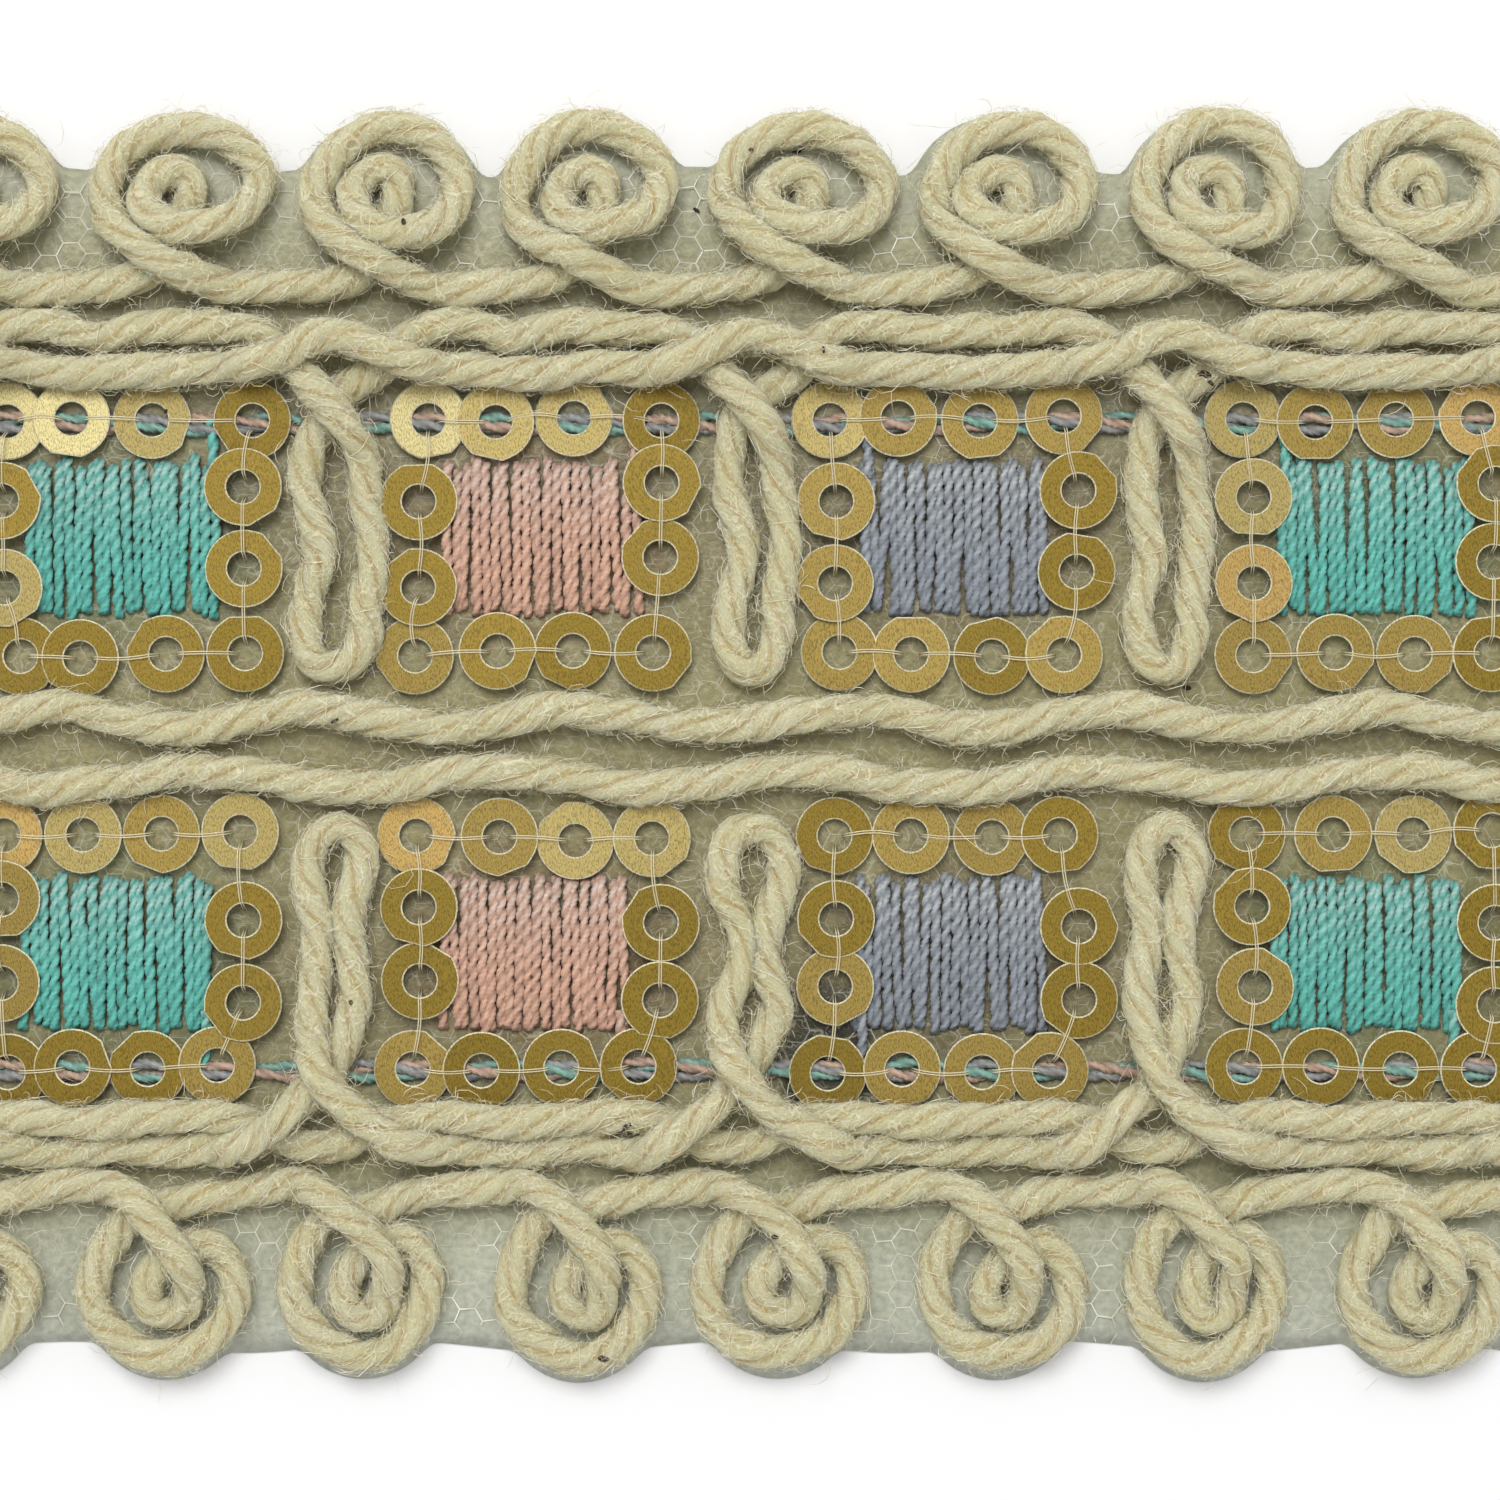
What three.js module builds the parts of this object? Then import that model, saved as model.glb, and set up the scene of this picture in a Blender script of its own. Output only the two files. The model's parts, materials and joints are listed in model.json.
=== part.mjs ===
// A cut length of sequin trim, lying flat with its face up.
// A strip of sheer net carries cords sewn down in rosettes, waves and loops, eight blocks of
// straight stitches, and a frame of twelve ring sequins round each block.
// Millimetres. +X runs along the strip, +Y across it and +Z up from the surface it lies on.
// The origin is the middle of the strip, on that surface.
import * as THREE from 'three';

// Driving sizes.
const REPEAT = 21.4;               // from one stitched block to the next
const REPEATS = 4;
const ROSETTE_PITCH = REPEAT / 2;
const NET = { length: 87, thickness: 1 };
const CORD = { width: 1.6, height: 1.3, sides: 5 };
const SEAT_GAP = 0.3;              // clearance between a piece and what it lies on
const SEQUIN = { radius: 2, holeRadius: 0.85, thickness: 0.3, sides: 10, holeSides: 6 };
const SEWING_THREAD = 0.3;         // width of the thread that links a run of sequins

// Heights worked out from the sizes above.
const SEAT_Z = NET.thickness + SEAT_GAP;
const CORD_Z = SEAT_Z + (CORD.height / 2) * Math.cos(Math.PI / CORD.sides);
const END_X = NET.length / 2 - SEAT_GAP;

// How far a stretch of cord is raised above the height at which it lies on the net.
const FLAT = 0;
const ON_SEQUIN = SEQUIN.thickness + SEAT_GAP;
const RISING = 0.8;
const OVER_ITSELF = CORD.height + 0.15;
const OVER_CORD = CORD.height + SEAT_GAP + 0.05;

const COLOURS = {
  net: 0xd3d2c4,
  cord: 0xe3ddc0,
  teal: 0x6fc2b8,
  pink: 0xe0a596,
  lavender: 0x8f95ad,
  gold: 0xcaa24f,
};

// Each edge of the strip has eight rosettes. side is +1 on the upper edge and -1 on the lower one.
// bump is the half width and half height of the net's scallop, valley the net's edge between two.
const EDGES = [
  { name: 'upper', side: 1, firstX: -38.1, y: 28.75, bumpX: 4.7, bumpY: 3.85, valley: 0.65 },
  { name: 'lower', side: -1, firstX: -38.8, y: -27.8, bumpX: 4.4, bumpY: 4.75, valley: 2.8 },
];
// Small shifts of the rosettes along the strip, as uneven as the real ones.
const ROSETTE_SHIFTS = [
  { upper: 0.1, lower: 0.1 },
  { upper: 0.3, lower: 0.1 },
  { upper: 0.25, lower: -0.4 },
  { upper: 0, lower: 0.05 },
  { upper: 0.15, lower: -0.4 },
  { upper: -0.15, lower: 0.2 },
  { upper: 0, lower: 0.2 },
  { upper: -0.4, lower: 0.4 },
];
// One rosette of the upper edge, about its own centre. The cord comes in from the left,
// runs under its own coil to the middle, winds outwards and leaves to the right.
const UPPER_ROSETTE = {
  comingIn: [
    { x: -5.0, y: -5.1, lift: FLAT },
    { x: -3.2, y: -4.9, lift: FLAT },
    { x: -1.7, y: -4.45, lift: FLAT },
    { x: -0.5, y: -3.4, lift: FLAT },
    { x: 0.45, y: -2.1, lift: FLAT },
    { x: 1.0, y: -0.9, lift: FLAT },
  ],
  coil: [
    { turn: 0.02, reach: 1.1, lift: FLAT },
    { turn: 0.18, reach: 1.15, lift: FLAT },
    { turn: 0.36, reach: 1.4, lift: FLAT },
    { turn: 0.5, reach: 1.95, lift: FLAT },
    { turn: 0.62, reach: 2.15, lift: RISING },
    { turn: 0.74, reach: 2.25, lift: OVER_ITSELF },
    { turn: 0.85, reach: 2.7, lift: OVER_ITSELF },
    { turn: 0.93, reach: 3.5, lift: RISING },
    { turn: 1.02, reach: 3.85, lift: FLAT },
    { turn: 1.12, reach: 3.45, lift: FLAT },
    { turn: 1.24, reach: 3.1, lift: FLAT },
    { turn: 1.36, reach: 3.15, lift: FLAT },
    { turn: 1.46, reach: 3.5, lift: FLAT },
    { turn: 1.54, reach: 3.85, lift: FLAT },
    { turn: 1.61, reach: 3.7, lift: RISING },
  ],
  goingOut: [
    { x: -1.7, y: -3.2, lift: OVER_ITSELF },
    { x: -0.4, y: -4.0, lift: OVER_ITSELF },
    { x: 1.0, y: -4.6, lift: RISING },
    { x: 2.6, y: -5.2, lift: FLAT },
  ],
};
// One rosette of the lower edge, drawn turned over so that its cord also comes in from below.
// Here the cord runs to the middle over its own coil.
const LOWER_ROSETTE = {
  comingIn: [
    { x: -4.6, y: -5.3, lift: FLAT },
    { x: -3.3, y: -5.35, lift: FLAT },
    { x: -2.1, y: -5.2, lift: RISING },
    { x: -0.95, y: -4.5, lift: OVER_ITSELF },
    { x: 0.35, y: -3.0, lift: OVER_ITSELF },
    { x: 1.3, y: -1.6, lift: OVER_ITSELF },
  ],
  coil: [
    { turn: 0.0, reach: 1.7, lift: RISING / 2 },
    { turn: 0.15, reach: 1.7, lift: FLAT },
    { turn: 0.32, reach: 1.55, lift: FLAT },
    { turn: 0.5, reach: 1.35, lift: FLAT },
    { turn: 0.66, reach: 1.5, lift: FLAT },
    { turn: 0.8, reach: 2.5, lift: FLAT },
    { turn: 0.88, reach: 3.5, lift: FLAT },
    { turn: 0.95, reach: 3.9, lift: FLAT },
    { turn: 1.03, reach: 3.8, lift: FLAT },
    { turn: 1.13, reach: 3.5, lift: FLAT },
    { turn: 1.24, reach: 3.3, lift: FLAT },
    { turn: 1.35, reach: 3.35, lift: FLAT },
    { turn: 1.45, reach: 3.65, lift: FLAT },
    { turn: 1.54, reach: 3.75, lift: FLAT },
    { turn: 1.63, reach: 3.9, lift: FLAT },
  ],
  goingOut: [
    { x: -1.3, y: -4.0, lift: FLAT },
    { x: 0.6, y: -4.3, lift: FLAT },
    { x: 2.6, y: -4.85, lift: FLAT },
  ],
};

// The looped cord of each band, for one loop. x is from the loop's middle.
const FIRST_LOOP_X = -40.65;
const UPPER_LOOP = [
  { x: -7.5, y: 21.55, lift: FLAT },
  { x: -5.0, y: 21.5, lift: FLAT },
  { x: -3.6, y: 21.2, lift: FLAT },
  { x: -2.4, y: 20.2, lift: FLAT },
  { x: -1.35, y: 18.95, lift: RISING },
  { x: -0.3, y: 17.8, lift: OVER_ITSELF },
  { x: 0.5, y: 16.5, lift: OVER_ITSELF },
  { x: 1.0, y: 15.0, lift: RISING / 2 },
  { x: 1.2, y: 13.2, lift: FLAT },
  { x: 1.4, y: 11.2, lift: FLAT },
  { x: 1.3, y: 9.2, lift: FLAT },
  { x: 1.1, y: 7.4, lift: FLAT },
  { x: 1.1, y: 5.8, lift: FLAT },
  { x: 0.6, y: 4.5, lift: FLAT },
  { x: -0.35, y: 4.1, lift: FLAT },
  { x: -1.15, y: 4.7, lift: FLAT },
  { x: -1.45, y: 6.2, lift: FLAT },
  { x: -1.3, y: 8.0, lift: FLAT },
  { x: -0.95, y: 9.8, lift: FLAT },
  { x: -1.15, y: 11.8, lift: FLAT },
  { x: -1.45, y: 13.8, lift: FLAT },
  { x: -1.25, y: 15.6, lift: FLAT },
  { x: -0.5, y: 17.1, lift: FLAT },
  { x: 0.6, y: 18.2, lift: FLAT },
  { x: 1.9, y: 19.1, lift: FLAT },
  { x: 3.1, y: 20.4, lift: FLAT },
  { x: 4.6, y: 21.4, lift: FLAT },
  { x: 7.4, y: 21.6, lift: FLAT },
];
const LOWER_LOOP = [
  { x: -7.6, y: -20.6, lift: FLAT },
  { x: -5.6, y: -20.6, lift: RISING / 2 },
  { x: -4.4, y: -20.25, lift: OVER_CORD },
  { x: -3.2, y: -19.4, lift: OVER_CORD },
  { x: -2.2, y: -18.5, lift: OVER_CORD },
  { x: -1.4, y: -17.8, lift: RISING },
  { x: -0.7, y: -17.05, lift: FLAT },
  { x: -0.05, y: -16.1, lift: FLAT },
  { x: 0.45, y: -14.8, lift: FLAT },
  { x: 0.95, y: -13.2, lift: FLAT },
  { x: 0.85, y: -11.5, lift: FLAT },
  { x: 0.6, y: -9.8, lift: FLAT },
  { x: 0.75, y: -8.1, lift: FLAT },
  { x: 1.2, y: -6.5, lift: FLAT },
  { x: 1.1, y: -5.0, lift: FLAT },
  { x: 0.3, y: -4.1, lift: FLAT },
  { x: -0.7, y: -4.35, lift: FLAT },
  { x: -1.3, y: -5.5, lift: FLAT },
  { x: -1.45, y: -7.2, lift: FLAT },
  { x: -1.2, y: -9.2, lift: FLAT },
  { x: -1.3, y: -11.2, lift: FLAT },
  { x: -1.45, y: -13.1, lift: FLAT },
  { x: -1.3, y: -14.8, lift: RISING / 2 },
  { x: -0.8, y: -16.1, lift: OVER_CORD },
  { x: -0.1, y: -17.2, lift: OVER_CORD },
  { x: 0.9, y: -18.3, lift: OVER_CORD },
  { x: 2.2, y: -19.25, lift: OVER_CORD },
  { x: 3.5, y: -20.0, lift: OVER_CORD },
  { x: 4.9, y: -20.5, lift: RISING },
  { x: 6.6, y: -20.6, lift: FLAT },
];
// The plain cord of each band, which bends aside where the looped one crosses it.
const UPPER_PLAIN = [
  { x: -7.6, y: 19.1, lift: ON_SEQUIN },
  { x: -5.3, y: 19.25, lift: ON_SEQUIN },
  { x: -3.8, y: 19.6, lift: OVER_CORD },
  { x: -2.4, y: 20.15, lift: OVER_CORD },
  { x: -1.1, y: 20.8, lift: OVER_CORD },
  { x: 0.2, y: 21.0, lift: OVER_CORD },
  { x: 1.5, y: 20.7, lift: OVER_CORD },
  { x: 2.8, y: 20.1, lift: OVER_CORD },
  { x: 4.1, y: 19.5, lift: OVER_CORD },
  { x: 5.8, y: 19.2, lift: ON_SEQUIN },
  { x: 8.4, y: 19.0, lift: ON_SEQUIN },
  { x: 11.0, y: 18.9, lift: ON_SEQUIN },
];
const LOWER_PLAIN = [
  { x: -7.9, y: -18.7, lift: ON_SEQUIN },
  { x: -5.6, y: -18.65, lift: ON_SEQUIN },
  { x: -3.9, y: -19.3, lift: FLAT },
  { x: -2.4, y: -19.95, lift: FLAT },
  { x: -0.8, y: -20.45, lift: FLAT },
  { x: 0.8, y: -20.2, lift: FLAT },
  { x: 2.2, y: -19.4, lift: FLAT },
  { x: 3.8, y: -18.95, lift: RISING / 2 },
  { x: 6.0, y: -18.6, lift: ON_SEQUIN },
  { x: 8.6, y: -18.75, lift: ON_SEQUIN },
  { x: 11.2, y: -18.8, lift: ON_SEQUIN },
];
// The two lone cords down the middle of the strip are plain waves.
const MIDDLE_CORDS = [
  { name: 'upper', y: 1.5, swing: 0.5, wave: 13.6, crestX: -6.5 },
  { name: 'lower', y: -1.6, swing: 0.45, wave: 15.2, crestX: -10.6 },
];
const MIDDLE_STEPS = 30;

// Stitched blocks and the sequin frames round them. Both rows have the same four colours.
const FIRST_BLOCK_X = -30;
const BLOCK_ROWS = [
  { name: 'upper', y: 10.85 },
  { name: 'lower', y: -10.45 },
];
const BLOCK_THREADS = ['teal', 'pink', 'lavender', 'teal'];
const BLOCK = { width: 9.7, height: 7.5, ribs: 20, valleyHeight: 0.3, crestHeight: 0.5 };
const FRAME = { halfWidth: 6.1, halfHeight: 6.05 };
const ROW_OF_FOUR = 4;
const PAIR = 2;

const trim = new THREE.Group();

function addPiece(name, geometry, colour, metalness = 0, roughness = 0.9) {
  const material = new THREE.MeshStandardMaterial({ color: COLOURS[colour], metalness, roughness });
  const mesh = new THREE.Mesh(geometry, material);
  mesh.name = name;
  trim.add(mesh);
  return mesh;
}

// The cloth: a strip of net, cut straight at both ends and scalloped round the rosettes.
function rosetteX(edge, index) {
  return edge.firstX + ROSETTE_PITCH * index + ROSETTE_SHIFTS[index][edge.name];
}

function scallopedEdge(edge) {
  const ARC_STEPS = 8;
  const start = Math.asin(edge.valley / edge.bumpY);
  const points = [];
  ROSETTE_SHIFTS.forEach((shift, index) => {
    for (let step = 0; step <= ARC_STEPS; step += 1) {
      const angle = Math.PI - start - (Math.PI - 2 * start) * (step / ARC_STEPS);
      const x = rosetteX(edge, index) + edge.bumpX * Math.cos(angle);
      const y = edge.y + edge.side * edge.bumpY * Math.sin(angle);
      points.push(new THREE.Vector2(x, y));
    }
  });
  const valleyY = edge.y + edge.side * edge.valley;
  points.unshift(new THREE.Vector2(-NET.length / 2, valleyY));
  points.push(new THREE.Vector2(NET.length / 2, valleyY));
  return points;
}

function netGround() {
  const [upper, lower] = EDGES.map(scallopedEdge);
  const outline = new THREE.Shape([...lower, ...upper.reverse()]);
  return new THREE.ExtrudeGeometry(outline, { depth: NET.thickness, bevelEnabled: false });
}

// Cords. A route is a list of points with a lift, and the tube takes one step at each of them,
// so that coils get more steps than straight runs. The section lies on its flat side all the way.
class CordPath extends THREE.CatmullRomCurve3 {
  getPointAt(share) {
    return this.getPoint(share);
  }

  computeFrenetFrames(steps) {
    const frames = { tangents: [], normals: [], binormals: [] };
    for (let step = 0; step <= steps; step += 1) {
      const along = this.getTangent(step / steps);
      const across = new THREE.Vector3().crossVectors(along, new THREE.Vector3(0, 0, 1)).normalize();
      frames.tangents.push(along);
      frames.binormals.push(across);
      frames.normals.push(new THREE.Vector3().crossVectors(across, along));
    }
    return frames;
  }
}

function cordSection() {
  const corners = [];
  for (let side = 0; side < CORD.sides; side += 1) {
    const angle = (2 * Math.PI * side) / CORD.sides;
    const up = (CORD.height / 2) * Math.cos(angle);
    corners.push(new THREE.Vector2(up, (CORD.width / 2) * Math.sin(angle)));
  }
  return new THREE.Shape(corners);
}

function cord(route) {
  const inside = route.filter((point) => Math.abs(point.x) < END_X - CORD.width / 2);
  const first = { ...inside[0], x: -END_X };
  const last = { ...inside[inside.length - 1], x: END_X };
  const points = [first, ...inside, last].map(({ x, y, lift }) => new THREE.Vector3(x, y, CORD_Z + lift));
  const path = new CordPath(points, false, 'centripetal');
  const steps = points.length - 1;
  return new THREE.ExtrudeGeometry(cordSection(), { steps, extrudePath: path, bevelEnabled: false });
}

function rosetteRoute(edge, index) {
  const shape = edge.side > 0 ? UPPER_ROSETTE : LOWER_ROSETTE;
  const wound = shape.coil.map(({ turn, reach, lift }) => {
    const angle = 2 * Math.PI * turn;
    return { x: reach * Math.cos(angle), y: reach * Math.sin(angle), lift };
  });
  const x = rosetteX(edge, index);
  return [...shape.comingIn, ...wound, ...shape.goingOut].map((point) => ({
    x: x + point.x,
    y: edge.y + edge.side * point.y,
    lift: point.lift,
  }));
}

function edgeCord(edge) {
  return cord(ROSETTE_SHIFTS.flatMap((shift, index) => rosetteRoute(edge, index)));
}

// A band's cord repeats its table at every loop. The first loop is also drawn once to the
// left of the strip, so that the run into it is there when the ends are trimmed.
function bandCord(table) {
  const route = [];
  for (let repeat = -1; repeat <= REPEATS; repeat += 1) {
    const loopX = FIRST_LOOP_X + REPEAT * repeat;
    route.push(...table.map((point) => ({ ...point, x: loopX + point.x })));
  }
  return cord(route);
}

function middleCord(wave) {
  const route = [];
  for (let step = 0; step <= MIDDLE_STEPS; step += 1) {
    const x = NET.length * (step / MIDDLE_STEPS - 0.5);
    const y = wave.y + wave.swing * Math.cos((2 * Math.PI * (x - wave.crestX)) / wave.wave);
    route.push({ x, y, lift: ON_SEQUIN });
  }
  return cord(route);
}

// A block of straight stitches: a low pad with one rib for each thread, running across the strip.
function stitchedBlock() {
  const profile = [new THREE.Vector2(-BLOCK.width / 2, 0)];
  const ribWidth = BLOCK.width / BLOCK.ribs;
  for (let rib = 0; rib < BLOCK.ribs; rib += 1) {
    const left = -BLOCK.width / 2 + rib * ribWidth;
    profile.push(new THREE.Vector2(left, BLOCK.valleyHeight));
    profile.push(new THREE.Vector2(left + ribWidth / 2, BLOCK.crestHeight));
  }
  profile.push(new THREE.Vector2(BLOCK.width / 2, BLOCK.valleyHeight));
  profile.push(new THREE.Vector2(BLOCK.width / 2, 0));
  const outline = new THREE.Shape(profile);
  const geometry = new THREE.ExtrudeGeometry(outline, { depth: BLOCK.height, bevelEnabled: false });
  return geometry.translate(0, 0, -BLOCK.height / 2).rotateX(Math.PI / 2);
}

// A run of ring sequins along X, linked by the thread that sews them down.
function sequinRun(count, pitch) {
  const linkAngle = Math.asin(SEWING_THREAD / 2 / SEQUIN.radius);
  const half = SEQUIN.sides / 2;
  const edgePoints = (index, side) => {
    const centreX = pitch * (index - (count - 1) / 2);
    const points = [];
    for (let step = 0; step <= half; step += 1) {
      const angle = Math.PI - linkAngle - (Math.PI - 2 * linkAngle) * (step / half);
      const x = centreX + SEQUIN.radius * Math.cos(angle);
      points.push(new THREE.Vector2(x, side * SEQUIN.radius * Math.sin(angle)));
    }
    return points;
  };
  const upper = [];
  const lower = [];
  for (let index = 0; index < count; index += 1) {
    upper.push(...edgePoints(index, 1));
    lower.push(...edgePoints(index, -1));
  }
  const outline = new THREE.Shape([...lower, ...upper.reverse()]);
  for (let index = 0; index < count; index += 1) {
    const hole = [];
    for (let side = 0; side < SEQUIN.holeSides; side += 1) {
      const angle = (-2 * Math.PI * side) / SEQUIN.holeSides;
      const x = pitch * (index - (count - 1) / 2) + SEQUIN.holeRadius * Math.cos(angle);
      hole.push(new THREE.Vector2(x, SEQUIN.holeRadius * Math.sin(angle)));
    }
    outline.holes.push(new THREE.Path(hole));
  }
  return new THREE.ExtrudeGeometry(outline, { depth: SEQUIN.thickness, bevelEnabled: false });
}

function sequinFrame(rowName, number, x, y) {
  const pitchX = (2 * FRAME.halfWidth) / (ROW_OF_FOUR - 1);
  const pitchY = (2 * FRAME.halfHeight) / (ROW_OF_FOUR - 1);
  const sideZ = SEAT_Z + BLOCK.crestHeight + SEAT_GAP;
  const runs = [
    { place: 'far', count: ROW_OF_FOUR, pitch: pitchX, x: 0, y: FRAME.halfHeight, z: SEAT_Z, turn: 0 },
    { place: 'near', count: ROW_OF_FOUR, pitch: pitchX, x: 0, y: -FRAME.halfHeight, z: SEAT_Z, turn: 0 },
    { place: 'left', count: PAIR, pitch: pitchY, x: -FRAME.halfWidth, y: 0, z: sideZ, turn: Math.PI / 2 },
    { place: 'right', count: PAIR, pitch: pitchY, x: FRAME.halfWidth, y: 0, z: sideZ, turn: Math.PI / 2 },
  ];
  for (const run of runs) {
    const name = `sequins_${rowName}_${number}_${run.place}`;
    const mesh = addPiece(name, sequinRun(run.count, run.pitch), 'gold', 0.8, 0.35);
    mesh.position.set(x + run.x, y + run.y, run.z);
    mesh.rotation.z = run.turn;
  }
}

addPiece('net_ground', netGround(), 'net');

for (const edge of EDGES) {
  addPiece(`cord_${edge.name}_edge`, edgeCord(edge), 'cord');
}
addPiece('cord_upper_looped', bandCord(UPPER_LOOP), 'cord');
addPiece('cord_upper_plain', bandCord(UPPER_PLAIN), 'cord');
addPiece('cord_lower_looped', bandCord(LOWER_LOOP), 'cord');
addPiece('cord_lower_plain', bandCord(LOWER_PLAIN), 'cord');
for (const wave of MIDDLE_CORDS) {
  addPiece(`cord_${wave.name}_middle`, middleCord(wave), 'cord');
}

for (const row of BLOCK_ROWS) {
  BLOCK_THREADS.forEach((thread, index) => {
    const x = FIRST_BLOCK_X + REPEAT * index;
    const block = addPiece(`stitches_${row.name}_${index + 1}`, stitchedBlock(), thread);
    block.position.set(x, row.y, SEAT_Z);
    sequinFrame(row.name, index + 1, x, row.y);
  });
}

export default trim;
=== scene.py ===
# %% [markdown]
# # A cut length of sequin trim
# The real thing is a strip of sheer net, 65 mm wide. Wool yarn is sewn down on it in rosettes,
# loops and waves, with blocks of straight stitches in three colours and frames of gold rings.
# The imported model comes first. It fixes the size and place of every piece, and each piece made
# here takes the place of one or more of its plain solids.

# %% Load the frame
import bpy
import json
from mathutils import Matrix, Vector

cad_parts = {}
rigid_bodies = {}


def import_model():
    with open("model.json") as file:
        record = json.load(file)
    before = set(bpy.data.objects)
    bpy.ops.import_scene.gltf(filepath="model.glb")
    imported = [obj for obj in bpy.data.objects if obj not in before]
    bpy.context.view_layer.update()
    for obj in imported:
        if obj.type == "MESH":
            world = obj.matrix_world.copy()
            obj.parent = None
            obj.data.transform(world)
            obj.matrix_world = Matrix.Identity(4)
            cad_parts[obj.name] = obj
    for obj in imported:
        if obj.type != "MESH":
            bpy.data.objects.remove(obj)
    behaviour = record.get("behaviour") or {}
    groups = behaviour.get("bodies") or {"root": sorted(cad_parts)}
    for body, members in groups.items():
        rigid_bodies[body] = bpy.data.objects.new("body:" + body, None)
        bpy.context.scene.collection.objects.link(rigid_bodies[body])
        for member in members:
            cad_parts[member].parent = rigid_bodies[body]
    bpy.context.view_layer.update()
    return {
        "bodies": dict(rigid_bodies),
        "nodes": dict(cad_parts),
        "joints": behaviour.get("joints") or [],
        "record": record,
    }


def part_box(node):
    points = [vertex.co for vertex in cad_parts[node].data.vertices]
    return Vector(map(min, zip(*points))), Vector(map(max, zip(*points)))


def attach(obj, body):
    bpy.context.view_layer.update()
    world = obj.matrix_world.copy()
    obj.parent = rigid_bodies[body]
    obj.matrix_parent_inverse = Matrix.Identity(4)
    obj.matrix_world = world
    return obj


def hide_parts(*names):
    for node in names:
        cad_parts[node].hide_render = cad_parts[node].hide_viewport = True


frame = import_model()
print("solids in the frame:", len(frame["nodes"]))

# %% Libraries and units
import json
import math
from collections import namedtuple

import bpy
import numpy as np

MM = 0.001
TURN = 2 * math.pi
rng = np.random.default_rng(41)
bpy.context.scene.view_settings.view_transform = "Standard"
print("lengths below are in millimetres, and a piece is scaled to metres when its mesh is made")

# %% [markdown]
# ## The camera
# The photo looks straight down on the trim and fills its frame with it, so that the strip runs
# out of both sides. A long lens stands in for the flat look of a product photo.

# %% Camera
LENS = 100
SENSOR = 36
VIEW_WIDTH = 76.9
VIEW_CENTRE = (2.18, -0.1)
VIEW_PLANE = 1.8

camera_height = VIEW_PLANE + VIEW_WIDTH * LENS / SENSOR
bpy.ops.object.camera_add(location=(VIEW_CENTRE[0] * MM, VIEW_CENTRE[1] * MM, camera_height * MM))
camera = bpy.context.object
camera.data.lens = LENS
camera.data.sensor_width = SENSOR
camera.data.clip_start = 0.01
bpy.context.scene.camera = camera
print("camera is", round(camera_height), "mm above the table")

# %% [markdown]
# ## Table and light
# The trim lies on a plain white table. A bright even sky does most of the work, and one soft lamp
# beyond the upper edge gives the yarn its lit side and drops a short shadow under the lower edge.

# %% Table and light
SKY_STRENGTH = 0.6
LAMP_PLACE = (-0.1, 0.42, 0.9)
LAMP_SIZE = 0.5
LAMP_POWER = 6.0

bpy.ops.mesh.primitive_plane_add(size=3, location=(0, 0, -0.00004))
table_top = bpy.context.object
table_top.name = "table_top"

sky = bpy.data.worlds.new("studio_sky")
sky.use_nodes = True
sky.node_tree.nodes["Background"].inputs["Color"].default_value = (1.0, 1.0, 1.0, 1)
sky.node_tree.nodes["Background"].inputs["Strength"].default_value = SKY_STRENGTH
bpy.context.scene.world = sky

bpy.ops.object.light_add(type="AREA", location=LAMP_PLACE)
lamp = bpy.context.object
lamp.data.shape = "DISK"
lamp.data.size = LAMP_SIZE
lamp.data.energy = LAMP_POWER
lamp.rotation_euler = (-lamp.location).to_track_quat("-Z", "Y").to_euler()
print("lamp is", round(lamp.location.length, 2), "m away")

# %% [markdown]
# ## Sizes that every piece shares
# The net lies a little off the table, because its back is full of stitch ends. The yarn rests on
# it, and where a yarn crosses something it is lifted by one of the named amounts. These are the
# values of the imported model, so the pieces land on its solids.

# %% Shared sizes
NET_LENGTH = 87
NET_WIDTH = 66
BED = 0.82
CORD_CENTRE = 1.826
END_X = 43.2
REPEAT = 21.4
REPEATS = 4
FLAT = 0
ON_SEQUIN = 0.6
RISING = 0.8
OVER_ITSELF = 1.4
OVER_CORD = 1.55

Edge = namedtuple("Edge", "side first_x y bump_x bump_y valley shifts")
UPPER_SHIFTS = (0.1, 0.3, 0.25, 0, 0.15, -0.15, 0, -0.4)
LOWER_SHIFTS = (0.1, 0.1, -0.4, 0.05, -0.4, 0.2, 0.2, 0.4)
UPPER_EDGE = Edge(1, -38.1, 28.75, 4.7, 3.95, 0.65, UPPER_SHIFTS)
LOWER_EDGE = Edge(-1, -38.8, -27.8, 4.4, 4.88, 2.8, LOWER_SHIFTS)


def rosette_centres(edge):
    return [edge.first_x + REPEAT / 2 * number + shift for number, shift in enumerate(edge.shifts)]


print("rosettes on each edge:", len(UPPER_SHIFTS))

# %% [markdown]
# ## Building closed tubes
# Yarn, thread, hair and filament are all tubes: rings of points, one after the other, joined by
# four-sided faces and closed with a cap at each end. One helper makes the faces for many tubes of
# the same make-up at once. Another turns points and faces into a finished object, with a UV map
# that runs round the tube in one direction and along it in the other, both in millimetres, so
# that a fibre pattern can follow the twist.

# %% Tube helpers
def tube_faces(strands, steps, sides, first=0):
    """The faces of equal tubes, whose points are numbered from the first one."""
    index = first + np.arange(strands * steps * sides).reshape(strands, steps, sides)
    this_ring, next_ring = index[:, :-1], index[:, 1:]
    corners = [this_ring, np.roll(this_ring, -1, 2), np.roll(next_ring, -1, 2), next_ring]
    walls = np.stack(corners, -1).reshape(-1, 4)
    caps = np.concatenate([index[:, 0, ::-1], index[:, -1]])
    return walls.tolist() + caps.tolist()


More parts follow.
